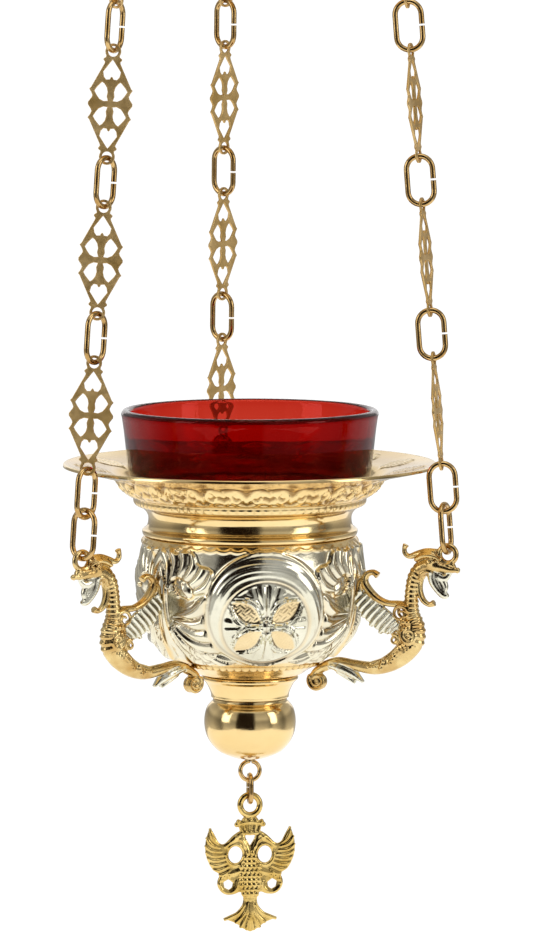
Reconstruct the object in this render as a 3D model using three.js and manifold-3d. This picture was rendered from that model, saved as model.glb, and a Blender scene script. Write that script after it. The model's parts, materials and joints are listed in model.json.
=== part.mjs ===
// A hanging vigil lamp: a stepped glass cup in a spun and embossed brass body, held by three dragon
// handles on three chains of wire links and pierced plates, under a small canopy and its hook.
// Millimetres, +Z up, the front looks along -Y. The origin is the point where the hook hangs.
import * as THREE from "three";
import { mergeVertices } from "three/addons/utils/BufferGeometryUtils.js";
import Module from "manifold-3d";

const wasm = await Module();
wasm.setup();

// ---- driving dimensions -------------------------------------------------------------------------
const sheet = 0.8; // thickness of the spun brass
const gap = 0.3; // clearance between pieces that touch
const play = 0.4; // clearance where one piece hangs in the next
const roundSteps = 28; // facets round the spun pieces
const bendSteps = 6; // facets round each bend of a wire link

// Drip dish, by radius and by drop below the plane of its rim. The throat is where its flange turns
// down, the funnel is the slope that carries the glass, and the neck is its narrowest part.
const dish = {
  rim: 46.7,
  rimDrop: 3.3,
  flare: 5.3,
  funnel: 29.7,
  funnelDrop: 8,
  neck: 25.4,
  neckDrop: 14,
  depth: 18,
};
// Bowl under the dish. The waist is the corner above its foot, and the lap goes up inside the dish.
const bowl = {
  top: 26.9,
  belly: 27.9,
  bellyDrop: 30,
  waist: 20.4,
  waistRise: 5.1,
  foot: 12.4,
  depth: 53.2,
  lap: 1.4,
};
const collar = { inset: 0.2, bottom: 9.6, height: 5.6, lining: 1.2 }; // concave cone under the bowl
const knob = { neck: 9.3, belly: 11.5, height: 15.3 }; // hollow ball under the cone
// Glass cup. Its stem clears the dish's neck, and its floor stands clear of the bowl's foot.
const cup = { rim: 32.05, lip: 13.4, wall: 2.2, stemPlay: 0.7, foot: 16, base: 4, footRise: 13.2 };
const rod = { radius: 1.2, end: 1.8, nutWidth: 5, nutHeight: 2, washer: 4.5, washerHeight: 0.6 };
const eye = { width: 6, wire: 1.1 }; // ring at the foot of the tie rod
const pendantRing = { length: 8.3, width: 6, wire: 1.2, slit: 0.2 };
const pendant = { thickness: 1.8, loop: 3.4, hole: 1.68 };
// Dragon handle. Its chain loop hangs outside the dish's rim, and its tail ends below the bowl's foot.
const dragon = {
  thickness: 4.4,
  wing: 2.4,
  loop: 2.85,
  hole: 1.6,
  loopThickness: 1.4,
  overhang: 5.7,
  loopDrop: 21,
  tail: 1,
};
const stud = { radius: 1, outside: 4.6, inside: 1, nutWidth: 4, nutHeight: 1.6 };
const link = { length: 13.3, width: 7.8, wire: 1.4, slit: 0.5 };
const plate = { width: 11, thickness: 0.6, reach: 12.8, hole: 1.3, tab: 1.95 };
// Canopy. The chains run inwards by chainRun on their way up to its holes near the edge.
const canopy = { chainRun: 14, height: 15, crown: 7, ledge: 2.6, lip: 0.8, hole: 2 };
const finial = { radius: 6.5, height: 10 };
const canopyEye = { width: 8.4, wire: 1.8, stem: 1.4 };
const hangingRing = { width: 17, wire: 1.8 };
const hook = { wire: 2.2, top: 6, bottom: 5, shank: 17 };
const float = { radius: 9, height: 3.5, tube: 1.7, flange: 4.5, wick: 0.9, wickLength: 11 };

// The three chains and dragons stand 120 degrees apart. Each link and plate is turned about the line of
// its chain: the angle is that of its flat side from the outward direction.
const chains = [
  { side: "right", azimuth: -30, links: [0, 111, 111, 111, 111, 90], plates: [8, 4, 2, 5] },
  { side: "rear", azimuth: 90, links: [10, 125, 131, 131, 125, 90], plates: [41, 41, 41, 20] },
  { side: "left", azimuth: 210, links: [15, 103, 103, 103, 110, 90], plates: [41, 41, 41, 20] },
];

// ---- materials ----------------------------------------------------------------------------------
const finish = (color, roughness, metalness) =>
  new THREE.MeshStandardMaterial({ color, roughness, metalness });
const gold = finish(0xd9b25a, 0.22, 1);
const silver = finish(0xdcdccf, 0.2, 1);
const steel = finish(0xb8b8b4, 0.35, 1);
const ruby = finish(0x7a0712, 0.05, 0);
const cork = finish(0xb98a5a, 0.9, 0);
const cotton = finish(0xf0ead8, 0.95, 0);

// ---- geometry helpers ---------------------------------------------------------------------------
const radians = THREE.MathUtils.degToRad;

function mesh(name, geometry, material) {
  const made = new THREE.Mesh(geometry, material);
  made.name = name;
  return made;
}

// A turned piece about Z, from a closed profile of [radius, height] points that runs up its outer side.
function turned(profile, steps = roundSteps) {
  const points = profile.map(([radius, height]) => new THREE.Vector2(radius, height));
  return new THREE.LatheGeometry(points, steps).rotateX(Math.PI / 2);
}

// A spun shell: the outer profile from its lowest point up, and the same wall set in by the sheet.
function spun(outer, wall = sheet) {
  const inner = outer.map(([radius, height], i) => {
    const [r0, h0] = outer[Math.max(i - 1, 0)];
    const [r1, h1] = outer[Math.min(i + 1, outer.length - 1)];
    const length = Math.hypot(r1 - r0, h1 - h0);
    return [radius - (wall * (h1 - h0)) / length, height + (wall * (r1 - r0)) / length];
  });
  return turned([...outer, ...inner.reverse(), outer[0]]);
}

function solid(geometry) {
  const bare = geometry.index ? geometry.toNonIndexed() : geometry.clone();
  bare.deleteAttribute("normal");
  bare.deleteAttribute("uv");
  const merged = mergeVertices(bare, 1e-4);
  return new wasm.Manifold(
    new wasm.Mesh({
      numProp: 3,
      vertProperties: merged.attributes.position.array,
      triVerts: new Uint32Array(merged.index.array),
    }),
  );
}

function geometryOf(made) {
  const { vertProperties, triVerts } = made.getMesh();
  const position = new THREE.BufferAttribute(new Float32Array(vertProperties), 3);
  return new THREE.BufferGeometry().setAttribute("position", position).setIndex([...triVerts]);
}

const joined = (geometries) => geometries.map(solid).reduce((sum, next) => sum.add(next));
const cut = (geometry, tools) =>
  geometryOf(tools.map(solid).reduce((rest, tool) => rest.subtract(tool), solid(geometry)));

// A cylinder about Z from one height to another.
function rodAlongZ(radius, low, high, sides = 16) {
  return new THREE.CylinderGeometry(radius, radius, high - low, sides)
    .rotateX(Math.PI / 2)
    .translate(0, 0, (low + high) / 2);
}

const shapeOf = (points) => new THREE.Shape(points.map(([x, y]) => new THREE.Vector2(x, y)));

// A plate of the X-Z plane, as thick along Y as given and centred on it.
function flatPlate(shape, thickness, curveSegments = 6) {
  return new THREE.ExtrudeGeometry(shape, { depth: thickness, bevelEnabled: false, curveSegments })
    .translate(0, 0, -thickness / 2)
    .rotateX(Math.PI / 2);
}

function hexNut(width, height, bore) {
  const corner = width / Math.sqrt(3);
  const angles = [0, 60, 120, 180, 240, 300].map(radians);
  const outline = shapeOf(angles.map((angle) => [corner * Math.cos(angle), corner * Math.sin(angle)]));
  outline.holes.push(new THREE.Path().absarc(0, 0, bore, 0, 2 * Math.PI, true));
  return new THREE.ExtrudeGeometry(outline, { depth: height, bevelEnabled: false, curveSegments: 6 });
}

// Round wire along a curve.
function wire(curve, diameter, steps, sides = 3) {
  const section = new THREE.Shape().absarc(0, 0, diameter / 2, 0, 2 * Math.PI);
  return new THREE.ExtrudeGeometry(section, { steps, extrudePath: curve, curveSegments: sides });
}

// The centre line of an open wire link in the X-Z plane: two straight sides, two half circles, and a
// slit halfway up one side. Equal steps of t make one step along each straight run and bendSteps round
// each half circle.
class LinkLine extends THREE.Curve {
  constructor(length, width, slit) {
    super();
    this.bend = width / 2;
    this.half = (length - width) / 2;
    this.slit = slit;
  }
  getPoint(t) {
    const { bend, half, slit } = this;
    const straight = half - slit / 2;
    let step = t * (2 * bendSteps + 3);
    if (step <= 1) {
      return new THREE.Vector3(bend, 0, slit / 2 + straight * step);
    }
    step -= 1;
    if (step <= bendSteps) {
      return this.around((Math.PI * step) / bendSteps, 1);
    }
    step -= bendSteps;
    if (step <= 1) {
      return new THREE.Vector3(-bend, 0, half - 2 * half * step);
    }
    step -= 1;
    if (step <= bendSteps) {
      return this.around(Math.PI - (Math.PI * step) / bendSteps, -1);
    }
    return new THREE.Vector3(bend, 0, straight * (step - bendSteps) - half);
  }
  around(angle, up) {
    return new THREE.Vector3(this.bend * Math.cos(angle), 0, up * (this.half + this.bend * Math.sin(angle)));
  }
  getUtoTmapping(u) {
    return u;
  }
}

const wireLink = (length, width, diameter, slit) =>
  wire(new LinkLine(length - diameter, width - diameter, slit), diameter, 2 * bendSteps + 3);

// A closed ring in the X-Z plane, of the outer width given.
const wireRing = (width, diameter, steps) =>
  new THREE.TorusGeometry((width - diameter) / 2, diameter / 2, 6, steps).rotateX(Math.PI / 2);

// ---- heights in the lamp's own frame: zero is the plane of the dish's rim ------------------------
const knobTop = -bowl.depth - gap - collar.height - gap;
const knobFoot = knobTop - knob.height;
const eyeCentre = knobFoot - gap - eye.width / 2;
const eyeFloor = eyeCentre - eye.width / 2 + eye.wire;
const pendantRingCentre = eyeFloor + play + pendantRing.wire - pendantRing.length / 2;
const pendantHole = pendantRingCentre - pendantRing.length / 2 + pendantRing.wire + play - pendant.hole;

// ---- places that follow from the sizes -----------------------------------------------------------
const throat = dish.funnel + dish.flare; // where the dish's flange turns down
const waistDrop = bowl.depth - bowl.waistRise;
const cupUnderside = -bowl.depth + cup.footRise;
const cupFloor = cupUnderside + cup.base;
const loopRadius = dish.rim + dragon.overhang; // the chains' lower ends
const chainRadius = loopRadius - canopy.chainRun; // the chains' upper ends

// ---- chain --------------------------------------------------------------------------------------
const linkReach = link.length / 2 - link.wire; // from a link's centre to the inside of its bend
const loopToLink = linkReach + dragon.hole - play;
const linkToLink = 2 * linkReach - play;
const linkToPlate = linkReach + plate.reach + plate.hole - play;
const linkToCanopy = linkReach - play;

const places = chainPlaces();
const chainLength = places.links[5] + linkToCanopy;
const chainLean = Math.asin(canopy.chainRun / chainLength);
const canopyRise = chainLength * Math.cos(chainLean) - dragon.loopDrop; // canopy's rim above the dish's rim

// Distances up the chain from the dragon's loop: two links, then a plate and a link by turns.
function chainPlaces() {
  const links = [loopToLink, loopToLink + linkToLink];
  const plates = [];
  while (links.length < 6) {
    plates.push(links.at(-1) + linkToPlate);
    links.push(plates.at(-1) + linkToPlate);
  }
  return { links, plates };
}

// A pierced diamond plate: round eyes at its ends, small points at its sides, and a cross left between
// four leaf-shaped openings. Its drawing is in shares of the half width and of the reach.
const plateEdge = [[1, 0], [0.83, 0.15], [0.98, 0.27], [0.34, 0.78], [0.42, 0.85], [0.27, 0.91]];
const plateDrop = [[0, 0.83], [0.38, 0.59], [0.24, 0.46], [-0.24, 0.46], [-0.38, 0.59]];
const plateLeaf = [[0.11, 0.08], [0.45, 0.09], [0.71, 0.23], [0.42, 0.4], [0.16, 0.28]];

function piercedPlate() {
  const { width, reach, tab, hole, thickness } = plate;
  const place = (points, side, up) => points.map(([x, y]) => [(side * x * width) / 2, up * y * reach]);
  const endArc = (up) =>
    new THREE.Path().absarc(0, up * reach, tab, radians(up * 90 - 125), radians(up * 90 + 125)).getPoints(6);
  const corners = (side, up) => place(plateEdge.slice(1), side, up);
  const outline = shapeOf([
    ...place(plateEdge.slice(0, 1), 1, 1),
    ...corners(1, 1),
    ...endArc(1).map(({ x, y }) => [x, y]),
    ...corners(-1, 1).reverse(),
    ...place(plateEdge.slice(0, 1), -1, 1),
    ...corners(-1, -1),
    ...endArc(-1).map(({ x, y }) => [x, y]),
    ...corners(1, -1).reverse(),
  ]);
  for (const up of [1, -1]) {
    outline.holes.push(new THREE.Path().absarc(0, up * reach, hole, 0, 2 * Math.PI, true));
    outline.holes.push(shapeOf(place(plateDrop, 1, up)));
    outline.holes.push(shapeOf(place(plateLeaf, 1, up)), shapeOf(place(plateLeaf, -1, up)));
  }
  return flatPlate(outline, thickness, 4);
}

function chain({ side, azimuth, links, plates }) {
  const line = new THREE.Group();
  line.position.set(loopRadius, 0, -dragon.loopDrop);
  line.rotation.y = -chainLean;
  const linkShape = wireLink(link.length, link.width, link.wire, link.slit);
  const plateShape = piercedPlate();
  const add = (name, geometry, height, turn) => {
    const piece = mesh(`chain_${side}_${name}`, geometry, gold);
    piece.position.z = height;
    piece.rotation.z = radians(turn - 90);
    line.add(piece);
  };
  links.forEach((turn, i) => add(`link_${i + 1}`, linkShape, places.links[i], turn));
  plates.forEach((turn, i) => add(`plate_${i + 1}`, plateShape, places.plates[i], turn));
  const around = new THREE.Group();
  around.rotation.z = radians(azimuth);
  around.add(line);
  return around;
}

// ---- dragon handle ------------------------------------------------------------------------------
// Each limb runs through [distance out from the bowl's belly, height from the chain's loop, half width]
// points of the dragon's own drawing, which is drawn to the reach and drop below and then stretched
// between bowl and loop, with the tail's scroll under the bowl's waist. A limb is an outline with a
// square start and end.
const drawn = { reach: 24.5, drop: 33.2, stud: 11 };
const tailTuck = 2; // the scroll's centre stands this far inside the bowl's waist
const limbs = {
  body: [
    [-10.7, -31.6, 1.2], [-6.9, -29.7, 1.4], [-2, -29, 1.5], [4.4, -29.2, 1.8], [10.5, -27.3, 2.3],
    [14.3, -23.8, 2.9], [15.5, -19.9, 3.4], [14.9, -15.6, 2.3], [14.8, -12, 1.7], [15.3, -7.6, 1.6],
    [17.5, -3.6, 1.9], [22.8, -1.6, 2],
  ],
  snout: [[20.3, -3.2, 1.9], [24.5, -4.5, 1.1], [27.7, -5.1, 0.8]],
  jaw: [[20.7, -5.4, 1.5], [22.7, -9.2, 1.2], [24.9, -11.2, 0.8]],
  crest: [[20.1, -0.8, 1.2], [15.7, -2, 1.2], [13.5, -0.6, 0.8], [13.3, 1.2, 0.7]],
  beard: [[17.1, -6.4, 0.9], [17.4, -10.6, 1], [19.1, -13.8, 0.9], [21.4, -12.8, 0.7]],
  wingEdge: [
    [14.3, -13.8, 1.2], [7.7, -13.2, 1.1], [3.5, -10, 1.1], [3.3, -7.4, 1.1], [6.1, -7.1, 0.8],
  ],
  leaf: [[-2.4, -29.4, 1.4], [0.3, -30.8, 1.3], [2.7, -32.8, 0.5]],
};
const wingMembrane = [
  [1.7, -9.4], [4.9, -12.8], [8.1, -14.2], [13.1, -14.6], [13.1, -19.4], [9.5, -21.2], [6.5, -20.2],
  [3.1, -17.8], [0.7, -15.2], [0.3, -11.6],
];
const scroll = { out: -9.5, height: -33.2, size: 2.9 };

// A point of the drawing, in the plane through the lamp's axis and the chain's loop. The head's limbs
// keep their height, and the rest stretches with the bowl.
function onDragon([out, height], ofHead = false) {
  const { belly, waist, depth } = bowl;
  const across = out > 0 ? (loopRadius - belly) / drawn.reach : (belly - waist + tailTuck) / -scroll.out;
  const down = ofHead ? 1 : (depth + dragon.tail - dragon.loopDrop) / drawn.drop;
  return [belly + out * across, height * down - dragon.loopDrop];
}

const studHeight = onDragon([0, -drawn.stud])[1];

// The outline of a limb, offset to both sides of a smooth line through its points.
function limbOutline(points, perSpan, ofHead) {
  const line = new THREE.SplineCurve(points.map((point) => new THREE.Vector2(...onDragon(point, ofHead))));
  const steps = perSpan * (points.length - 1);
  const left = [];
  const right = [];
  for (let i = 0; i <= steps; i++) {
    const at = line.getPoint(i / steps);
    const way = line.getTangent(i / steps);
    const span = Math.min(Math.floor(i / perSpan), points.length - 2);
    const half = THREE.MathUtils.lerp(points[span][2], points[span + 1][2], i / perSpan - span);
    left.push([at.x - way.y * half, at.y + way.x * half]);
    right.unshift([at.x + way.y * half, at.y - way.x * half]);
  }
  return shapeOf([...right, ...left]);
}

// A body of revolution that keeps the dragons clear of the bowl, dish and cone.
function bowlKeepOut() {
  const grown = bowlProfile().map(([radius, height]) => [radius + gap, height]);
  const foot = grown[0];
  return turned([[0, foot[1] - gap], [foot[0], foot[1] - gap], ...grown, [0, -dish.depth]]);
}

// The stud's shaft along X, from inside its nut out into the wing.
function studShaft(radius) {
  const wall = bowlRadiusAt(studHeight);
  const start = wall - sheet - gap * 3 - stud.nutHeight - stud.inside;
  const end = wall + stud.outside;
  return new THREE.CylinderGeometry(radius, radius, end - start, 10)
    .rotateZ(Math.PI / 2)
    .translate((start + end) / 2, 0, studHeight);
}

function dragonHandle() {
  const { thickness, wing, hole, loopThickness } = dragon;
  const limb = (name, share, ofHead) => flatPlate(limbOutline(limbs[name], 2, ofHead), thickness * share);
  const loop = new THREE.Shape().absarc(loopRadius, -dragon.loopDrop, dragon.loop, 0, 2 * Math.PI);
  loop.holes.push(new THREE.Path().absarc(loopRadius, -dragon.loopDrop, hole, 0, 2 * Math.PI, true));
  const tailScroll = new THREE.Shape().absarc(
    ...onDragon([scroll.out, scroll.height]),
    scroll.size,
    0,
    2 * Math.PI,
  );
  const pieces = [
    limb("body", 1),
    limb("snout", 0.7, true),
    limb("jaw", 0.6, true),
    limb("crest", 0.45, true),
    limb("beard", 0.5, true),
    limb("wingEdge", 0.6),
    limb("leaf", 0.8),
    flatPlate(shapeOf(wingMembrane.map((point) => onDragon(point))), wing),
    flatPlate(tailScroll, thickness * 0.9),
    flatPlate(loop, loopThickness),
  ];
  const casting = joined(pieces).subtract(solid(bowlKeepOut()));
  return geometryOf(casting.add(solid(studShaft(stud.radius))));
}

// ---- spun body ----------------------------------------------------------------------------------
function bowlProfile() {
  const { top, belly, bellyDrop, waist, foot, depth } = bowl;
  const low = (share) => -waistDrop + share * (waistDrop - bellyDrop); // from the waist up to the belly
  const high = (share) => -bellyDrop + share * (bellyDrop - dish.depth); // from the belly up to the top
  return [
    [foot, -depth],
    [foot + (waist - foot) * 0.39, -depth + bowl.waistRise * 0.39],
    [waist - (waist - foot) * 0.25, -waistDrop - bowl.waistRise * 0.25],
    [waist, -waistDrop],
    [waist + (belly - waist) * 0.52, low(0.22)],
    [waist + (belly - waist) * 0.79, low(0.46)],
    [waist + (belly - waist) * 0.96, low(0.76)],
    [belly, -bellyDrop],
    [top + (belly - top) * 0.5, high(0.47)],
    [top, -dish.depth - gap],
  ];
}

// The bowl's outer radius at a height between its foot and its top.
function bowlRadiusAt(height) {
  const profile = bowlProfile();
  const above = profile.findIndex((point) => point[1] > height);
  const [[r0, h0], [r1, h1]] = [profile[above - 1], profile[above]];
  return THREE.MathUtils.mapLinear(height, h0, h1, r0, r1);
}

function bowlShell() {
  const outer = bowlProfile();
  const { foot, depth, top } = bowl;
  const bore = rod.radius + gap;
  const inner = outer.slice(1).map(([radius, height]) => [radius - sheet, height + sheet * 0.4]);
  const lapRadius = top - sheet - gap * 3; // the bowl's neck slips inside the dish's skirt
  inner[inner.length - 1] = [lapRadius - sheet, -dish.depth - gap - sheet];
  const profile = [
    [bore, -depth],
    ...outer,
    [lapRadius, -dish.depth - gap],
    [lapRadius, -dish.depth + bowl.lap],
    [lapRadius - sheet, -dish.depth + bowl.lap],
    ...inner.reverse(),
    [foot - sheet * 0.75, -depth + sheet],
    [bore, -depth + sheet],
    [bore, -depth],
  ];
  const holes = chains.map(({ azimuth }) => studShaft(stud.radius + gap).rotateZ(radians(azimuth)));
  return cut(turned(profile), holes);
}

function dripDish() {
  const { rim, rimDrop, flare, funnel, funnelDrop, neck, neckDrop, depth } = dish;
  const skirt = depth - neckDrop;
  const band = neckDrop - funnelDrop;
  return spun([
    [bowl.top, -depth],
    [bowl.top, -depth + skirt * 0.2],
    [bowl.top - sheet, -depth + bowl.lap + gap + sheet],
    [neck, -neckDrop],
    [neck + (funnel - neck) * 0.05, -neckDrop + band * 0.2],
    [neck + (funnel - neck) * 0.49, -neckDrop + band * 0.57],
    [neck + (funnel - neck) * 0.86, -neckDrop + band * 0.8],
    [funnel, -funnelDrop],
    [throat - flare * 0.53, -rimDrop - (funnelDrop - rimDrop) * 0.6],
    [throat - flare * 0.19, -rimDrop - (funnelDrop - rimDrop) * 0.21],
    [throat, -rimDrop],
    [(throat + rim) / 2, -rimDrop * 0.45],
    [rim, -sheet],
  ]);
}

function glassCup() {
  const { rim, lip, wall, stemPlay, foot } = cup;
  const shoulder = dish.funnel + stemPlay * 0.7; // the glass stands on the dish's funnel here
  const seat = -dish.rimDrop - (dish.funnelDrop - dish.rimDrop) * 0.68;
  const stem = dish.neck - sheet - stemPlay;
  const neckline = -dish.neckDrop + 2;
  return turned([
    [0, cupUnderside],
    [foot - 1, cupUnderside],
    [foot, cupUnderside + 1],
    [stem, neckline],
    [shoulder - 1.4, seat - 0.4],
    [shoulder, seat + 1.2],
    [rim - 0.5, lip - 5],
    [rim, lip - 1],
    [rim - wall * 0.5, lip],
    [rim - wall, lip - 1],
    [rim - wall - 0.4, lip - 5],
    [shoulder - wall, seat + 2.4],
    [stem - wall, neckline + 1],
    [foot - wall, cupFloor + 1.5],
    [foot - wall - 2, cupFloor],
    [0, cupFloor],
  ]);
}

function baseCollar() {
  const { bottom, height, lining } = collar;
  const top = -bowl.depth - gap;
  const foot = top - height;
  const wide = bowl.foot - collar.inset;
  const bore = rod.radius + gap;
  return turned([
    [bore, foot + lining],
    [bottom - sheet * 1.5, foot + lining],
    [bottom - sheet, foot],
    [bottom, foot],
    [bottom + (wide - bottom) * 0.04, foot + height * 0.11],
    [bottom + (wide - bottom) * 0.31, foot + height * 0.36],
    [bottom + (wide - bottom) * 0.77, foot + height * 0.71],
    [wide, foot + height * 0.86],
    [wide - gap, top],
    [bore, top],
    [bore, foot + lining],
  ]);
}

function baseKnob() {
  const { neck, belly, height } = knob;
  const bore = rod.radius + gap;
  const inside = belly - sheet;
  return turned([
    [bore, knobFoot],
    [belly * 0.21, knobFoot],
    [belly * 0.63, knobFoot + height * 0.1],
    [belly * 0.86, knobFoot + height * 0.26],
    [belly * 0.97, knobFoot + height * 0.43],
    [belly, knobFoot + height * 0.59],
    [belly * 0.97, knobFoot + height * 0.77],
    [neck + gap * 2, knobFoot + height * 0.94],
    [neck, knobTop],
    [bore, knobTop],
    [bore, knobTop - sheet],
    [neck - sheet, knobTop - sheet],
    [inside, knobFoot + height * 0.72],
    [inside * 0.86, knobFoot + height * 0.31],
    [inside * 0.28, knobFoot + sheet],
    [bore, knobFoot + sheet],
    [bore, knobFoot],
  ]);
}

// The tie rod holds bowl, cone and knob together: a nut inside the bowl, an eye under the knob.
function tieRod() {
  const top = -bowl.depth + sheet + rod.washerHeight + rod.nutHeight + gap * 2 + rod.end;
  const start = eyeCentre + eye.width / 2 - eye.wire * 0.6;
  const ring = wireRing(eye.width, eye.wire, 14).translate(0, 0, eyeCentre);
  return geometryOf(joined([ring, rodAlongZ(rod.radius, start, top, 10)]));
}

// ---- pendant: a flat two-headed eagle, with its hole at the origin -------------------------------
// One half of the outline from the crown down to the tail, and the openings, measured from the foot of
// the hanging loop.
const eagleHalf = [
  [4.2, 0], [2.7, -2.2], [4.8, -4.6], [6.6, -6], [8.2, -5.6], [9.2, -3.6], [10.6, -2], [11.6, -5],
  [11.4, -9.6], [9, -13.4], [8.4, -16], [5.4, -19.4], [2, -18.8], [1.9, -20.6], [6.6, -25],
  [3.2, -26.2],
];
const eagleTail = [0, -28.8];
const eagleCrown = [[-1.5, -3], [0, -6.8], [1.5, -3]];
const eagleNeck = [[2.1, -7.6], [3.6, -6.4], [5.6, -7.2], [5.8, -9.6], [4, -11], [2.4, -9.6]];
const eagleClaw = [[4.4, -16.2], [6.2, -14.8], [7.4, -16.4], [6, -17.8]];

function eaglePendant() {
  const { thickness, loop, hole } = pendant;
  const place = (points, side = 1) => points.map(([x, y]) => [side * x, y - loop]);
  const ring = new THREE.Path().absarc(0, 0, loop, radians(-50), radians(230)).getPoints(6);
  const outline = shapeOf([
    ...place([eagleTail]),
    ...place(eagleHalf).reverse(),
    ...ring.map(({ x, y }) => [x, y]),
    ...place(eagleHalf, -1),
  ]);
  outline.holes.push(new THREE.Path().absarc(0, 0, hole, 0, 2 * Math.PI, true));
  outline.holes.push(shapeOf(place(eagleCrown)));
  for (const side of [1, -1]) {
    outline.holes.push(shapeOf(place(eagleNeck, side)), shapeOf(place(eagleClaw, side)));
  }
  return flatPlate(outline, thickness);
}

// ---- lamp ---------------------------------------------------------------------------------------
function lampBody() {
  const lamp = new THREE.Group();
  const nutSeat = -bowl.depth + sheet + gap;
  const nutTop = nutSeat + rod.washerHeight + gap + rod.nutHeight;
  const washer = turned(
    [
      [rod.radius + gap, 0],
      [rod.washer, 0],
      [rod.washer, rod.washerHeight],
      [rod.radius + gap, rod.washerHeight],
      [rod.radius + gap, 0],
    ],
    16,
  ).translate(0, 0, nutSeat);
  const rodNut = hexNut(rod.nutWidth, rod.nutHeight, rod.radius + gap);
  rodNut.translate(0, 0, nutTop - rod.nutHeight);
  lamp.add(mesh("drip_dish", dripDish(), gold));
  lamp.add(mesh("bowl", bowlShell(), silver));
  lamp.add(mesh("base_collar", baseCollar(), gold));
  lamp.add(mesh("base_knob", baseKnob(), gold));
  lamp.add(mesh("tie_rod_eye", tieRod(), gold));
  lamp.add(mesh("tie_rod_washer", washer, steel));
  lamp.add(mesh("tie_rod_nut", rodNut, steel));

  const dragonShape = dragonHandle();
  const nutShape = hexNut(stud.nutWidth, stud.nutHeight, stud.radius + gap).rotateY(Math.PI / 2);
  for (const { side, azimuth } of chains) {
    const around = new THREE.Group();
    around.rotation.z = radians(azimuth);
    const nut = mesh(`dragon_${side}_nut`, nutShape, steel);
    nut.position.set(bowlRadiusAt(studHeight) - sheet - gap * 3 - stud.nutHeight, 0, studHeight);
    around.add(mesh(`dragon_${side}`, dragonShape, gold), nut);
    lamp.add(around);
  }

  const { length, width, wire: thick, slit } = pendantRing;
  const ring = mesh("pendant_ring", wireLink(length, width, thick, slit), gold);
  ring.position.z = pendantRingCentre;
  ring.rotation.z = Math.PI / 2;
  const eagle = mesh("eagle_pendant", eaglePendant(), gold);
  eagle.position.z = pendantHole;
  lamp.add(ring, eagle);

  lamp.add(mesh("glass_cup", glassCup(), ruby), wickFloat());
  return lamp;
}

// The wick float lies on the floor of the empty cup: a cork, a tin collar through it, and the wick.
function wickFloat() {
  const floating = new THREE.Group();
  const { radius, height, tube, flange, wick, wickLength } = float;
  const bore = tube + gap;
  const corkRing = turned(
    [
      [bore, 0],
      [radius - 0.6, 0],
      [radius, 0.6],
      [radius, height - 0.6],
      [radius - 0.6, height],
      [bore, height],
      [bore, 0],
    ],
    20,
  );
  const top = height + gap;
  const tin = turned(
    [
      [wick + gap, 0.4],
      [tube, 0.4],
      [tube, top],
      [flange, top],
      [flange, top + 0.4],
      [wick + gap, top + 0.4],
      [wick + gap, 0.4],
    ],
    16,
  );
  floating.add(mesh("float_cork", corkRing, cork), mesh("float_collar", tin, steel));
  floating.add(mesh("float_wick", rodAlongZ(wick, 0.4, wickLength, 8), cotton));
  floating.position.z = cupFloor + gap;
  return floating;
}

// ---- canopy, ring and hook ----------------------------------------------------------------------
// The canopy's frame has its rim's upper side at zero.
function canopyDome() {
  const { height, crown, ledge, lip, hole } = canopy;
  const rimEdge = chainRadius + lip;
  const holeRadius = chainRadius - lip - hole;
  const shoulder = holeRadius - hole - ledge;
  const dome = spun([
    [rimEdge, 0],
    [shoulder, 0],
    [shoulder * 0.93, height * 0.28],
    [shoulder * 0.74, height * 0.62],
    [crown * 2.1, height * 0.86],
    [crown, height],
    [canopyEye.stem + gap, height],
  ]);
  const holes = chains.map(({ azimuth }) =>
    rodAlongZ(hole, -3, 3, 10)
      .translate(holeRadius, 0, 0)
      .rotateZ(radians(azimuth)),
  );
  return cut(dome, holes);
}

function canopyTop() {
  const upper = new THREE.Group();
  const nutFoot = canopy.height - sheet - gap - rod.nutHeight;
  const stemFoot = nutFoot - gap - rod.end;
  const finialFoot = canopy.height + gap;
  const finialTop = finialFoot + finial.height;
  const bore = canopyEye.stem + gap;
  const turnedKnob = turned(
    [
      [bore, finialFoot],
      [finial.radius, finialFoot],
      [finial.radius, finialFoot + 1.2],
      [finial.radius * 0.55, finialFoot + 2.4],
      [finial.radius * 0.85, finialFoot + 5],
      [finial.radius * 0.7, finialTop - 2.2],
      [finial.radius * 0.45, finialTop],
      [bore, finialTop],
      [bore, finialFoot],
    ],
    20,
  );
  const eyeMiddle = finialTop + gap + canopyEye.width / 2;
  const ring = wireRing(canopyEye.width, canopyEye.wire, 14).translate(0, 0, eyeMiddle);
  const stemTop = eyeMiddle - canopyEye.width / 2 + canopyEye.wire * 0.6;
  const stem = rodAlongZ(canopyEye.stem, stemFoot, stemTop, 10);
  const nut = hexNut(rod.nutWidth, rod.nutHeight, bore).translate(0, 0, nutFoot);
  upper.add(mesh("canopy_dome", canopyDome(), gold));
  upper.add(mesh("canopy_finial", turnedKnob, gold));
  upper.add(mesh("canopy_eyebolt", geometryOf(joined([ring, stem])), gold));
  upper.add(mesh("canopy_nut", nut, steel));
  return { upper, eyeTop: eyeMiddle + canopyEye.width / 2 };
}

// An S-shaped hook in the X-Z plane; the inside of its upper bend is the origin.
class HookLine extends THREE.Curve {
  getPoint(t) {
    const { top, bottom, shank, wire: thick } = hook;
    const upper = thick / 2 - top;
    const lower = upper - shank;
    const turnUp = top * radians(200);
    const turnDown = bottom * radians(200);
    const slope = Math.hypot(top + bottom, shank);
    let along = t * (turnUp + slope + turnDown);
    if (along < turnUp) {
      const angle = radians(-20) + along / top;
      return new THREE.Vector3(top * Math.cos(angle), 0, upper + top * Math.sin(angle));
    }
    along -= turnUp;
    if (along < slope) {
      const share = along / slope;
      return new THREE.Vector3(-top + (top + bottom) * share, 0, upper - shank * share);
    }
    const angle = -(along - slope) / bottom;
    return new THREE.Vector3(bottom * Math.cos(angle), 0, lower + bottom * Math.sin(angle));
  }
}

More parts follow.
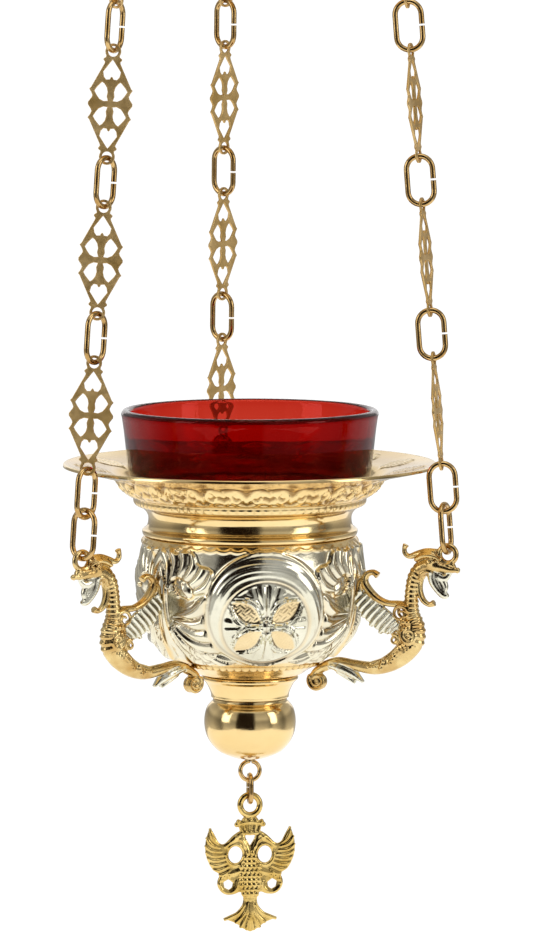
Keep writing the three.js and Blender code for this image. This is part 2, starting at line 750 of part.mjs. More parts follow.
// ---- assembly -----------------------------------------------------------------------------------
const hookFloor = hook.wire - hook.top - hook.shank - hook.bottom; // inside of the lower bend
const ringCentre = hookFloor + play + hangingRing.wire - hangingRing.width / 2;
const ringFloor = ringCentre - hangingRing.width / 2 + hangingRing.wire;
const { upper, eyeTop } = canopyTop();
const canopyHeight = ringFloor + play + canopyEye.wire - eyeTop;
const lampHeight = canopyHeight - canopyRise;

const ringAtTop = mesh("hanging_ring", wireRing(hangingRing.width, hangingRing.wire, 22), gold);
ringAtTop.rotation.z = Math.PI / 2;
ringAtTop.position.z = ringCentre;
upper.position.z = canopyHeight;
const lamp = lampBody();
lamp.add(...chains.map(chain));
lamp.position.z = lampHeight;

const vigilLamp = new THREE.Group();
const hookAtTop = mesh("hanging_hook", wire(new HookLine(), hook.wire, 24), gold);
vigilLamp.add(hookAtTop, ringAtTop, upper, lamp);

export default vigilLamp;
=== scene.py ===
import json
import math

import bpy
import numpy as np
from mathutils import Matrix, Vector


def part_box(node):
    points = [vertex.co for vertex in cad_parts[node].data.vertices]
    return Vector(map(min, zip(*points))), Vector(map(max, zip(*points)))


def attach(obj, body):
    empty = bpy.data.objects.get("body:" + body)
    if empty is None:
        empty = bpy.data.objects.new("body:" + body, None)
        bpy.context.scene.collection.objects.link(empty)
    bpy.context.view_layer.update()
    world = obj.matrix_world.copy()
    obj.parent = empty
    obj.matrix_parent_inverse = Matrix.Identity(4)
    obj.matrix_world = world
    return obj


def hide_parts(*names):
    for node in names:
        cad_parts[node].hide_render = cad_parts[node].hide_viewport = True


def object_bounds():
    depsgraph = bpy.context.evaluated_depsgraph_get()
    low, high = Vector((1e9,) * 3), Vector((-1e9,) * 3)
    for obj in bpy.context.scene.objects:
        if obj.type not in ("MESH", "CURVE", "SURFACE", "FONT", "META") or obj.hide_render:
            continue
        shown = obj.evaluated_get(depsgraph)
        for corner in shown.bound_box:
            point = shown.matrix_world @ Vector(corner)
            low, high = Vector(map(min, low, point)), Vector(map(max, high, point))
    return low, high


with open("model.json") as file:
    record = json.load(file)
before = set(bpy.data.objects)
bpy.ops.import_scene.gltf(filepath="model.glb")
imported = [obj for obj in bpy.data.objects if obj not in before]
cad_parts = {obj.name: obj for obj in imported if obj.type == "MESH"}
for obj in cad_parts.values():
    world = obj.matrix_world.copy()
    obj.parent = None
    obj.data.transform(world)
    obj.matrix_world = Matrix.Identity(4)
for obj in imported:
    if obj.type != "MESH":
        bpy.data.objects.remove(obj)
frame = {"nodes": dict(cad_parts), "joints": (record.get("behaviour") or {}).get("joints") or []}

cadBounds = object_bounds()
mm = 0.001  # drawn sizes are in millimetres, and become metres in makePiece
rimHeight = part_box("drip_dish")[1].z / mm  # plane of the dish's rim; lamp heights below count from it
chainAzimuth = {"right": -30, "rear": 90, "left": 210}
medallionAzimuths = [-90, 30, 150]  # degrees, each midway between two chains
tau = 2 * math.pi


# nodes and colours

def linear(code):
    channels = [int(code[i:i + 2], 16) / 255 for i in (1, 3, 5)]
    return [c / 12.92 if c <= 0.04045 else ((c + 0.055) / 1.055) ** 2.4 for c in channels] + [1]


def addNode(tree, kind, settings=None, links=None):
    # settings holds attributes and, under the socket's name or number, input values
    node = tree.nodes.new(kind)
    for key, value in (settings or {}).items():
        if isinstance(key, str) and hasattr(node, key):
            setattr(node, key, value)
        else:
            node.inputs[key].default_value = value
    for socket, source in (links or {}).items():
        tree.links.new(source, node.inputs[socket])
    return node


def startMaterial(name):
    material = bpy.data.materials.new(name)
    material.use_nodes = True
    tree = material.node_tree
    tree.nodes.clear()
    return material, tree, addNode(tree, "ShaderNodeOutputMaterial")


def setStops(ramp, stops):
    elements = ramp.color_ramp.elements
    while len(elements) < len(stops):
        elements.new(0.5)
    for element, (position, colour) in zip(elements, stops):
        element.position = position
        element.color = linear(colour) if isinstance(colour, str) else (colour, colour, colour, 1)


# materials

def platedBrass(name, look):
    # polished and plated sheet or casting: bright, with the slight waves of handwork, faint polishing
    # lines, and the plating's tone drifting from place to place; "plating" is 0 gold and 1 silver
    material, tree, output = startMaterial(name)
    place = addNode(tree, "ShaderNodeTexCoord").outputs["Object"]
    drift = addNode(tree, "ShaderNodeTexNoise", {"Scale": 1 / (look["driftSize"] * mm), "Detail": 3},
                    {"Vector": place})
    gold = addNode(tree, "ShaderNodeValToRGB", None, {"Fac": drift.outputs["Fac"]})
    setStops(gold, [(0.32, look["goldDark"]), (0.7, look["gold"])])
    silver = addNode(tree, "ShaderNodeValToRGB", None, {"Fac": drift.outputs["Fac"]})
    setStops(silver, [(0.32, look["silverDark"]), (0.7, look["silver"])])
    plating = addNode(tree, "ShaderNodeAttribute", {"attribute_name": "plating"})
    tone = addNode(tree, "ShaderNodeMix", {"data_type": "RGBA"},
                   {0: plating.outputs["Fac"], 6: gold.outputs["Color"], 7: silver.outputs["Color"]})
    # a brown painted shade is laid into the recesses of relief, darker the deeper a point lies
    hollowShade = addNode(tree, "ShaderNodeAttribute", {"attribute_name": "hollowShade"})
    paintedShade = addNode(tree, "ShaderNodeMix", {"data_type": "RGBA", 7: linear(look["paintedShade"])},
                   {0: hollowShade.outputs["Fac"], 6: tone.outputs[2]})
    wipe = addNode(tree, "ShaderNodeTexNoise", {"Scale": 1 / (look["wipeSize"] * mm), "Detail": 5},
                   {"Vector": place})
    rough = addNode(tree, "ShaderNodeMapRange", {1: 0.3, 2: 0.75, 3: look["rough"][0], 4: look["rough"][1]},
                    {0: wipe.outputs["Fac"]})
    waves = addNode(tree, "ShaderNodeTexNoise", {"Scale": 1 / (look["waveSize"] * mm), "Detail": 2},
                    {"Vector": place})
    wavy = addNode(tree, "ShaderNodeBump", {"Strength": look["wave"], "Distance": 0.2 * mm},
                   {"Height": waves.outputs["Fac"]})
    grain = addNode(tree, "ShaderNodeTexNoise", {"Scale": 1 / (look["grainSize"] * mm), "Detail": 2},
                    {"Vector": place})
    bump = addNode(tree, "ShaderNodeBump", {"Strength": look["grain"], "Distance": 0.05 * mm},
                   {"Height": grain.outputs["Fac"], "Normal": wavy.outputs["Normal"]})
    shader = addNode(tree, "ShaderNodeBsdfPrincipled", {"Metallic": 1},
                     {"Base Color": paintedShade.outputs[2], "Roughness": rough.outputs[0],
                      "Normal": bump.outputs["Normal"]})
    tree.links.new(shader.outputs[0], output.inputs["Surface"])
    return material


# the last colour is the brown of the painted shade in recesses
goldTones = {"gold": "#F3D9A0", "goldDark": "#E4C283", "silver": "#EDEAD7", "silverDark": "#D7D2BC",
             "paintedShade": "#7A5420"}
# the grain is drawn coarser than real polishing marks, which are too fine to show
# spun on a lathe, buffed and gold plated: a warm mirror with long shallow waves
spunGold = platedBrass("brass_spun_gold_plated", goldTones | {
    "driftSize": 22, "wipeSize": 5, "rough": (0.1, 0.2), "waveSize": 7, "wave": 0.35, "grainSize": 0.5,
    "grain": 0.12})
# embossed from behind, silvered, with gilt petals and edges: a pale mirror broken by short waves
embossedPlate = platedBrass("brass_embossed_silver_and_gold_plated", goldTones | {
    "driftSize": 9, "wipeSize": 3, "rough": (0.12, 0.26), "waveSize": 3, "wave": 0.3, "grainSize": 0.4,
    "grain": 0.15})
# cast in sand and gold plated: bright ridges, a slightly grainy skin and painted brown shade in the recesses
castGold = platedBrass("brass_cast_gold_plated", goldTones | {
    "gold": "#E4CB90", "goldDark": "#C09A5C", "driftSize": 5, "wipeSize": 2, "rough": (0.14, 0.27),
    "waveSize": 1.6, "wave": 0.35, "grainSize": 0.35, "grain": 0.3})
# drawn wire, bent and gold plated: darker and smooth, with thin bright lines along it
drawnWire = platedBrass("brass_wire_gold_plated", goldTones | {
    "gold": "#DDBB80", "goldDark": "#AE8951", "driftSize": 4, "wipeSize": 1.5, "rough": (0.08, 0.2),
    "waveSize": 2.5, "wave": 0.25, "grainSize": 0.3, "grain": 0.15})
# stamped from thin sheet and left satin: an even, pale sheen with no mirror image
stampedPlate = platedBrass("brass_stamped_satin", goldTones | {
    "gold": "#EBCB90", "goldDark": "#CBA765", "driftSize": 6, "wipeSize": 1.5, "rough": (0.44, 0.56),
    "waveSize": 4, "wave": 0.6, "grainSize": 0.25, "grain": 0.3})
# cast in yellow brass and lacquered: a greener gold, bright on its ridges, with a darker painted shade
# between them
yellowCasting = platedBrass("brass_cast_yellow_lacquered", goldTones | {
    "gold": "#EACD84", "goldDark": "#C6A253", "paintedShade": "#5A4310", "driftSize": 5, "wipeSize": 1.5,
    "rough": (0.12, 0.26), "waveSize": 1.5, "wave": 0.35, "grainSize": 0.6, "grain": 0.12})


def rubyGlassMaterial():
    # pressed ruby glass: clear, deep red where thick and orange where thin, with slight mould ripple
    look = {"tint": "#FBEDEA", "sheen": "#F0605A", "depth": "#ED7A3A", "density": 2050, "rough": 0.015,
            "rippleSize": 9}
    material, tree, output = startMaterial("glass_pressed_ruby")
    place = addNode(tree, "ShaderNodeTexCoord").outputs["Object"]
    ripple = addNode(tree, "ShaderNodeTexNoise", {"Scale": 1 / (look["rippleSize"] * mm), "Detail": 1},
                     {"Vector": place})
    bump = addNode(tree, "ShaderNodeBump", {"Strength": 0.25, "Distance": 0.3 * mm},
                   {"Height": ripple.outputs["Fac"]})
    shader = addNode(tree, "ShaderNodeBsdfPrincipled",
                     {"Base Color": linear(look["tint"]), "Roughness": look["rough"], "IOR": 1.52,
                      "Specular IOR Level": 0.14, "Specular Tint": linear(look["sheen"]),
                      "Transmission Weight": 1}, {"Normal": bump.outputs["Normal"]})
    depth = addNode(tree, "ShaderNodeVolumeAbsorption", {"Color": linear(look["depth"]),
                                                         "Density": look["density"]})
    tree.links.new(shader.outputs[0], output.inputs["Surface"])
    tree.links.new(depth.outputs[0], output.inputs["Volume"])
    return material


def zincSteelMaterial():
    # turned steel with bright zinc: cool grey with a fine machined grain
    material, tree, output = startMaterial("steel_turned_zinc_plated")
    place = addNode(tree, "ShaderNodeTexCoord").outputs["Object"]
    grain = addNode(tree, "ShaderNodeTexNoise", {"Scale": 1 / (0.4 * mm), "Detail": 4}, {"Vector": place})
    rough = addNode(tree, "ShaderNodeMapRange", {3: 0.25, 4: 0.45}, {0: grain.outputs["Fac"]})
    tone = addNode(tree, "ShaderNodeValToRGB", None, {"Fac": grain.outputs["Fac"]})
    setStops(tone, [(0.3, "#A9ABA8"), (0.7, "#C9CAC4")])
    bump = addNode(tree, "ShaderNodeBump", {"Strength": 0.2, "Distance": 0.05 * mm},
                   {"Height": grain.outputs["Fac"]})
    shader = addNode(tree, "ShaderNodeBsdfPrincipled", {"Metallic": 1},
                     {"Base Color": tone.outputs["Color"], "Roughness": rough.outputs[0],
                      "Normal": bump.outputs["Normal"]})
    tree.links.new(shader.outputs[0], output.inputs["Surface"])
    return material


def barkCorkMaterial():
    # sliced cork: warm tan cells with dark pores about 1 mm apart
    material, tree, output = startMaterial("cork_sliced")
    place = addNode(tree, "ShaderNodeTexCoord").outputs["Object"]
    cells = addNode(tree, "ShaderNodeTexVoronoi", {"Scale": 1 / (1.1 * mm)}, {"Vector": place})
    tone = addNode(tree, "ShaderNodeValToRGB", None, {"Fac": cells.outputs["Distance"]})
    setStops(tone, [(0.05, "#6B4524"), (0.4, "#C49A68")])
    bump = addNode(tree, "ShaderNodeBump", {"Strength": 0.5, "Distance": 0.2 * mm},
                   {"Height": cells.outputs["Distance"]})
    shader = addNode(tree, "ShaderNodeBsdfPrincipled", {"Roughness": 0.9},
                     {"Base Color": tone.outputs["Color"], "Normal": bump.outputs["Normal"]})
    tree.links.new(shader.outputs[0], output.inputs["Surface"])
    return material


def braidedCottonMaterial():
    # braided cotton wick: off-white strands that cross every 0.7 mm
    material, tree, output = startMaterial("cotton_braided")
    place = addNode(tree, "ShaderNodeTexCoord").outputs["Object"]
    strands = addNode(tree, "ShaderNodeTexWave", {"Scale": 1 / (2.2 * mm), "Distortion": 3,
                                                  "bands_direction": "DIAGONAL"},
                      {"Vector": place})
    tone = addNode(tree, "ShaderNodeValToRGB", None, {"Fac": strands.outputs["Fac"]})
    setStops(tone, [(0.2, "#CFC4A6"), (0.7, "#F3ECDA")])
    bump = addNode(tree, "ShaderNodeBump", {"Strength": 0.6, "Distance": 0.2 * mm},
                   {"Height": strands.outputs["Fac"]})
    shader = addNode(tree, "ShaderNodeBsdfPrincipled", {"Roughness": 0.95, "Sheen Weight": 0.3},
                     {"Base Color": tone.outputs["Color"], "Normal": bump.outputs["Normal"]})
    tree.links.new(shader.outputs[0], output.inputs["Surface"])
    return material


rubyGlass = rubyGlassMaterial()
zincSteel = zincSteelMaterial()
barkCork = barkCorkMaterial()
braidedCotton = braidedCottonMaterial()


# mesh tools: points are in millimetres, in the lamp's or the whole model's frame

def makePiece(name, points, faces, material, body, nodes, plating=None, hollowShade=None, sharp=40):
    mesh = bpy.data.meshes.new(name)
    mesh.from_pydata((np.asarray(points) * mm).tolist(), [], [list(map(int, f)) for f in faces])
    mesh.update()
    return finishPiece(name, mesh, material, body, nodes, plating, hollowShade, sharp)


def finishPiece(name, mesh, material, body, nodes, plating=None, hollowShade=None, sharp=40):
    mesh.polygons.foreach_set("use_smooth", [True] * len(mesh.polygons))
    mesh.set_sharp_from_angle(angle=math.radians(sharp))
    # plating is 0 gold and 1 silver; the second attribute is how much painted shade a point has
    for label, values in (("plating", plating), ("hollowShade", hollowShade)):
        layer = mesh.attributes.new(label, "FLOAT", "POINT")
        blank = np.zeros(len(mesh.vertices))
        layer.data.foreach_set("value", blank if values is None else np.asarray(values, float))
    piece = bpy.data.objects.new(name, mesh)
    bpy.context.scene.collection.objects.link(piece)
    piece.data.materials.append(material)
    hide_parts(*nodes)
    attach(piece, body)
    return piece


def smoothLine(points, perSpan):
    # a Catmull-Rom line through the points, of any number of columns
    p = np.asarray(points, float)
    p = np.vstack([2 * p[0] - p[1], p, 2 * p[-1] - p[-2]])
    t = np.linspace(0, 1, perSpan, endpoint=False)[:, None]
    line = []
    for a, b, c, d in zip(p[:-3], p[1:-2], p[2:-1], p[3:]):
        square, cube = 2 * a - 5 * b + 4 * c - d, 3 * b - a - 3 * c + d
        line.append(0.5 * (2 * b + (c - a) * t + square * t ** 2 + cube * t ** 3))
    return np.vstack([*line, p[-2]])


def evenLine(line, count):
    # the line's points again, at even distances along it
    steps = np.linalg.norm(np.diff(line, axis=0), axis=1)
    along = np.concatenate([[0], np.cumsum(steps)])
    at = np.linspace(0, along[-1], count)
    return np.column_stack([np.interp(at, along, line[:, k]) for k in range(line.shape[1])])


def roundCorners(points, radius, perCorner=4):
    # a line of straight runs with its corners rounded
    p = np.asarray(points, float)
    line = [p[0]]
    for a, b, c in zip(p[:-2], p[1:-1], p[2:]):
        into, out = a - b, c - b
        reach = min(radius, 0.45 * np.linalg.norm(into), 0.45 * np.linalg.norm(out))
        start = b + into / np.linalg.norm(into) * reach
        end = b + out / np.linalg.norm(out) * reach
        for t in np.linspace(0, 1, perCorner):
            line.append((1 - t) ** 2 * start + 2 * t * (1 - t) * b + t ** 2 * end)
    return np.vstack([*line, p[-1]])


def gridFaces(rows, columns, closeRows=False, closeColumns=True):
    faces = []
    for i in range(rows if closeRows else rows - 1):
        for j in range(columns if closeColumns else columns - 1):
            i2, j2 = (i + 1) % rows, (j + 1) % columns
            faces.append((i * columns + j, i * columns + j2, i2 * columns + j2, i2 * columns + j))
    return faces


def turnLine(line, steps):
    # the points of a turned surface: one ring of points for each point of the line
    angle = np.arange(steps) * tau / steps
    radius, height = line[:, 0][:, None], line[:, 1][:, None]
    return np.stack([radius * np.cos(angle), radius * np.sin(angle), height + 0 * angle], -1).reshape(-1, 3)


def turnedPiece(name, profile, steps, material, body, nodes, corner=0.5, sharp=50):
    # profile runs up the outer side and back down the inner side, and closes on itself
    line = roundCorners(profile + profile[:1], corner)[:-1]
    faces = gridFaces(len(line), steps, closeRows=True)
    return makePiece(name, turnLine(line, steps), faces, material, body, nodes, sharp=sharp)


def tubeMesh(path, widths, depths=None, sides=10, flatSide=None, twist=0):
    # a tube along a path with round ends. depths is its half size along flatSide, widths its other half size
    path = np.asarray(path, float)
    widths = np.broadcast_to(np.asarray(widths, float), len(path))
    depths = widths if depths is None else np.broadcast_to(np.asarray(depths, float), len(path))
    way = np.gradient(path, axis=0)
    way /= np.linalg.norm(way, axis=1)[:, None]
    side = np.array(flatSide if flatSide is not None else (0.0, 1.0, 0.0))
    if flatSide is None and abs(way[0] @ side) > 0.9:
        side = np.array((1.0, 0.0, 0.0))
    rings = []
    for k in range(len(path)):
        if flatSide is None:
            side = side - way[k] * (side @ way[k])
            side /= np.linalg.norm(side)
            a = side
        else:
            a = np.array(flatSide, float)
        b = np.cross(way[k], a)
        b /= np.linalg.norm(b)
        angle = np.arange(sides) * tau / sides + twist
        cosine, sine = np.cos(angle)[:, None], np.sin(angle)[:, None]
        rings.append(path[k] + cosine * a * depths[k] + sine * b * widths[k])
    points = np.vstack(rings)
    faces = gridFaces(len(path), sides)
    faces.append(tuple(range(sides))[::-1])
    faces.append(tuple(len(points) - sides + j for j in range(sides)))
    return points, faces


def joinMeshes(parts):
    points, faces, first = [], [], 0
    for p, f in parts:
        points.append(np.asarray(p))
        faces += [tuple(first + i for i in face) for face in f]
        first += len(p)
    return np.vstack(points), faces


def ballMesh(centre, radii, rings=8, sides=12):
    radii = np.broadcast_to(np.asarray(radii, float), 3)
    points = [(0, 0, -1)]
    for i in range(1, rings):
        polar = math.pi * i / rings
        for j in range(sides):
            a = tau * j / sides
            points.append((math.sin(polar) * math.cos(a), math.sin(polar) * math.sin(a), -math.cos(polar)))
    points.append((0, 0, 1))
    last = len(points) - 1
    faces = [(0, 1 + (j + 1) % sides, 1 + j) for j in range(sides)]
    for i in range(rings - 2):
        for j in range(sides):
            a, b = 1 + i * sides + j, 1 + i * sides + (j + 1) % sides
            faces.append((a, b, b + sides, a + sides))
    faces += [(last, last - sides + j, last - sides + (j + 1) % sides) for j in range(sides)]
    return np.array(points) * radii + np.asarray(centre, float), faces


def ridge(distance, width):
    return np.exp(-(distance / width) ** 2)


def softStep(value, low, high):
    t = np.clip((value - low) / (high - low), 0, 1)
    return t * t * (3 - 2 * t)


def aroundZ(points, degrees):
    a = math.radians(degrees)
    p = np.asarray(points)
    return np.column_stack([p[:, 0] * math.cos(a) - p[:, 1] * math.sin(a),
                            p[:, 0] * math.sin(a) + p[:, 1] * math.cos(a), p[:, 2]])


def castMesh(name, parts, grain, soften, rounds=2):
    # the parts melted into one skin, as in a casting: remeshed at the grain size, then softened
    points, faces = joinMeshes(parts)
    mesh = bpy.data.meshes.new(name)
    mesh.from_pydata((points * mm).tolist(), [], faces)
    blank = bpy.data.objects.new(name + "_blank", mesh)
    bpy.context.scene.collection.objects.link(blank)
    melt = blank.modifiers.new("melt", "REMESH")
    melt.mode = "VOXEL"
    melt.voxel_size = grain * mm
    smooth = blank.modifiers.new("soften", "SMOOTH")
    smooth.factor, smooth.iterations = soften, rounds
    made = bpy.data.meshes.new_from_object(blank.evaluated_get(bpy.context.evaluated_depsgraph_get()))
    bpy.data.objects.remove(blank)
    return made


def meshPoints(mesh):
    points = np.zeros(len(mesh.vertices) * 3)
    mesh.vertices.foreach_get("co", points)
    return points.reshape(-1, 3) / mm


def cavities(mesh, reach=3):
    # how far each point lies below its surroundings, in millimetres, for the painted shade laid into
    # recesses
    points = meshPoints(mesh)
    normals = np.zeros(len(points) * 3)
    mesh.vertices.foreach_get("normal", normals)
    normals = normals.reshape(-1, 3)
    edges = np.zeros(len(mesh.edges) * 2, int)
    mesh.edges.foreach_get("vertices", edges)
    edges = edges.reshape(-1, 2)
    average = points.copy()
    count = np.bincount(edges.ravel(), minlength=len(points))[:, None]
    for _ in range(reach):
        total = np.zeros_like(average)
        np.add.at(total, edges[:, 0], average[edges[:, 1]])
        np.add.at(total, edges[:, 1], average[edges[:, 0]])
        average = total / np.maximum(count, 1)
    return np.einsum("ij,ij->i", average - points, normals)


print("materials and tools ready")


# glass cup

cup = {"rim": 32.05, "lip": 13.4, "wall": 2.2, "shoulder": 30.3, "seat": -6.3, "stem": 23.9,
       "neckline": -12, "foot": 16, "floor": -36, "sole": 4, "steps": 160}


def makeCup():
    rim, lip, wall, shoulder = cup["rim"], cup["lip"], cup["wall"], cup["shoulder"]
    foot, floor, sole, stem, neckline = cup["foot"], cup["floor"], cup["sole"], cup["stem"], cup["neckline"]
    outside = [(0, floor - sole + 0.6), (foot * 0.6, floor - sole + 0.4), (foot - 1.6, floor - sole),
               (foot, floor - sole + 1.6), (stem, neckline), (shoulder - 0.6, cup["seat"]),
               (shoulder + 0.35, 0), (rim - 0.55, 8), (rim - 0.1, lip - 2.2)]
    edge = [(rim + 0.12 - wall * 0.5 * (1 - math.cos(a)), lip - 1.25 + 1.25 * math.sin(a))
            for a in np.linspace(0, math.pi, 9)]
    inside = [(rim - wall - 0.3, 8), (shoulder - wall, 0), (shoulder - wall - 1, cup["seat"] + 2),
              (stem - wall, neckline + 1.5), (foot - wall, floor + 3), (foot - wall - 3, floor), (0, floor)]
    line = np.vstack([roundCorners(outside, 1.4, 6), edge, roundCorners(inside, 1.6, 6)])
    line = line[np.concatenate([[True], np.linalg.norm(np.diff(line, axis=0), axis=1) > 0.02])]
    points = turnLine(line[1:-1] + [0, rimHeight], cup["steps"])
    faces = gridFaces(len(line) - 2, cup["steps"])
    bottom, top = len(points), len(points) + 1
    points = np.vstack([points, [[0, 0, line[0, 1] + rimHeight], [0, 0, line[-1, 1] + rimHeight]]])
    last = len(points) - 2 - cup["steps"]
    for j in range(cup["steps"]):
        k = (j + 1) % cup["steps"]
        faces.append((bottom, k, j))
        faces.append((top, last + j, last + k))
    piece = makePiece("glass_cup_blown", points, faces, rubyGlass, "glass_cup", ["glass_cup"], sharp=80)


makeCup()


# drip dish

dish = {"rim": 46.7, "steps": 560, "rows": 92, "topRows": 44, "beads": 84, "leaves": 18, "flangeLeaves": 16}


def reliefFront(outer, rows, steps, relief):
    # the outer side of a spun shell, moved out by relief(angle, along, line) -> height, plating and painted
    # shade
    line = evenLine(outer, rows)
    angle = np.arange(steps) * tau / steps
    along = np.linspace(0, np.linalg.norm(np.diff(outer, axis=0), axis=1).sum(), rows)
    way = np.gradient(line, axis=0)
    way /= np.linalg.norm(way, axis=1)[:, None]
    angles, alongs = angle[None, :] + 0 * along[:, None], along[:, None] + 0 * angle[None, :]
    height, plating, hollowShade = relief(angles, alongs, line)
    radius = line[:, 0][:, None] + height * way[:, 1][:, None]
    level = line[:, 1][:, None] - height * way[:, 0][:, None]
    front = np.stack([radius * np.cos(angle), radius * np.sin(angle), level], -1).reshape(-1, 3)
    return front, plating.ravel(), hollowShade.ravel()


def reliefShell(name, outer, rows, steps, relief, inner, material, body, nodes, lift):
    front, plating, hollowShade = reliefFront(outer, rows, steps, relief)
    back = turnLine(np.asarray(inner, float), steps)
    points = np.vstack([front, back]) + [0, 0, lift]
    faces = gridFaces(rows + len(inner), steps, closeRows=True)
    extra = np.zeros(len(back))
    return makePiece(name, points, faces, material, body, nodes,
                     np.concatenate([plating, extra]), np.concatenate([hollowShade, extra]), sharp=70)


def dishRelief(angle, along, line):
    # leaf scrolls on the funnel and beads on the band under it
    radius, level = line[:, 0][:, None], line[:, 1][:, None]
    leaves = dish["leaves"]
    phase = ((angle * leaves / tau) % 1) - 0.5
    x = phase * radius * tau / leaves
    funnel = softStep(level, -8.4, -7.6) * (1 - softStep(level, -3.4, -2.6)) * (radius > 29)
    y = level + 8.2
    stem = ridge(x - 1.8 * np.sin(y * 0.8), 0.3)
    lobes = np.abs(np.sin(3.1 * np.arctan2(y + 0.6, np.abs(x) + 0.4) + 1.2 * np.hypot(x, y)))
    fromScroll = np.hypot(np.abs(x) - 3.2, y - 2.6)
    scroll = ridge(fromScroll - 1.35, 0.3) + ridge(fromScroll, 0.45)
    leaf = 0.38 * lobes ** 2 + 0.36 * stem + 0.36 * scroll
    band = ridge(level + 9.7, 0.7) * (radius < 30)
    bead = np.abs(np.cos(angle * dish["beads"] / 2)) ** 0.6
    height = funnel * (leaf - 0.22) + band * (0.25 * bead - 0.05)
    groove = ridge(level + 8.7, 0.22) + ridge(level + 10.9, 0.25) + ridge(level + 16.2, 0.2)
    height = height - 0.16 * groove * (radius < 31)
    # painted shade: darker between the leaves, between the beads and in the grooves
    hollowShade = funnel * softStep(0.28 - leaf, 0, 0.25) * 0.8 + band * (1 - bead) * 0.3
    hollowShade = hollowShade + 0.35 * groove * (radius < 31)
    return height, 0 * angle, np.clip(hollowShade, 0, 0.8)


def flangeRelief(angle, radius):
    # the flange's upper side: shallow punched leaves. returns their height and where they are
    leaves = dish["flangeLeaves"]
    x = (((angle * leaves / tau) % 1) - 0.5) * radius * tau / leaves
    y = radius - 36.5
    inside = softStep(radius, 34, 35.5) * (1 - softStep(radius, 43.5, 45))
    blade = 3.8 * np.sin(np.clip((radius - 34.5) / 10, 0, 1) * math.pi) ** 0.7
    vein = np.abs(np.sin(2.4 * (y + np.abs(x) * 1.4)))
    leaf = softStep(blade - np.abs(x), 0, 0.5)
    return inside * (leaf * (0.12 + 0.14 * vein) + 0.14 * ridge(x, 0.25)), leaf * inside


def makeDish():
    rim, steps, rows = dish["rim"], dish["steps"], dish["rows"]
    profile = [(26.2, -18), (26.75, -17.9), (26.95, -17.3), (26.9, -16.7), (26.3, -16.2), (25.7, -15.6),
               (25.45, -14.4), (25.5, -13.2), (26.1, -12), (27, -11.2), (27.9, -10.9), (28.7, -10.2),
               (29.1, -9.2), (29.3, -8.7), (30, -8.3), (31.4, -7.1), (32.5, -5.7), (33.3, -4.5),
               (34.6, -3.6), (38, -2.7), (42.5, -1.75), (rim, -0.85)]
    outer = smoothLine(profile, 8)
    edge = [(rim - 0.02, -0.6), (rim - 0.06, -0.25), (rim - 0.35, -0.05)]
    upper = smoothLine([(rim - 0.8, -0.1), (42.5, -0.95), (38, -1.9), (34.9, -2.7), (33, -4.4), (31.6, -6)],
                       8)
    lower = smoothLine([(30.6, -7.2), (28.6, -8.8), (27.5, -10.2), (25.6, -11.6), (24.75, -13.4),
                        (24.9, -15.4), (25.9, -16.6), (25.6, -17.7)], 5)
    # the upper side carries its own relief, so the shell is made of four strips: outer, edge, upper, lower
    front, _, hollowShade = reliefFront(outer, rows, steps, dishRelief)
    angle = np.arange(steps) * tau / steps
    flange = evenLine(upper, dish["topRows"])
    flangeRadius, flangeLevel = flange[:, :1], flange[:, 1:]
    rise, leaf = flangeRelief(angle[None, :] + 0 * flangeRadius, flangeRadius + 0 * angle[None, :])
    top = np.stack([flangeRadius * np.cos(angle), flangeRadius * np.sin(angle),
                    flangeLevel + rise * 0.9 - 0.12], -1)
    points = np.vstack([front, turnLine(np.array(edge), steps), top.reshape(-1, 3), turnLine(lower, steps)])
    # painted shade over the flange round its punched leaves, darkest about 39 mm out
    flangeShade = 0.2 + 0.34 * (1 - leaf) * ridge(flangeRadius - 39, 5)
    paintedShade = np.concatenate([hollowShade, np.zeros(len(edge) * steps), flangeShade.ravel(),
                           np.zeros(len(lower) * steps)])
    faces = gridFaces(rows + len(edge) + len(flange) + len(lower), steps, closeRows=True)
    piece = makePiece("drip_dish_engraved", points + [0, 0, rimHeight], faces, spunGold, "lamp",
                      ["drip_dish"], None, paintedShade, sharp=70)


makeDish()


# bowl with its three medallions

bowl = {"steps": 600, "rows": 150, "widest": 27.6, "medallionRadius": 15.3, "medallionDrop": 16.9,
        "rosetteRadius": 11.5, "rosetteDrop": 3.2, "petals": (36, 144, 220, 320), "petalStart": 1.3,
        "petalLength": 9.6, "petalHalf": 2.6, "scallops": 48, "footBeads": 60}
# the acanthus fans of one side: base to the side and down, aim and half angle in degrees, length and ribs
acanthus = [(4.2, 13.5, 68, 62, 12.5, 10), (2.0, 19, -28, 60, 15, 9), (6.5, 24, -75, 40, 11, 10)]


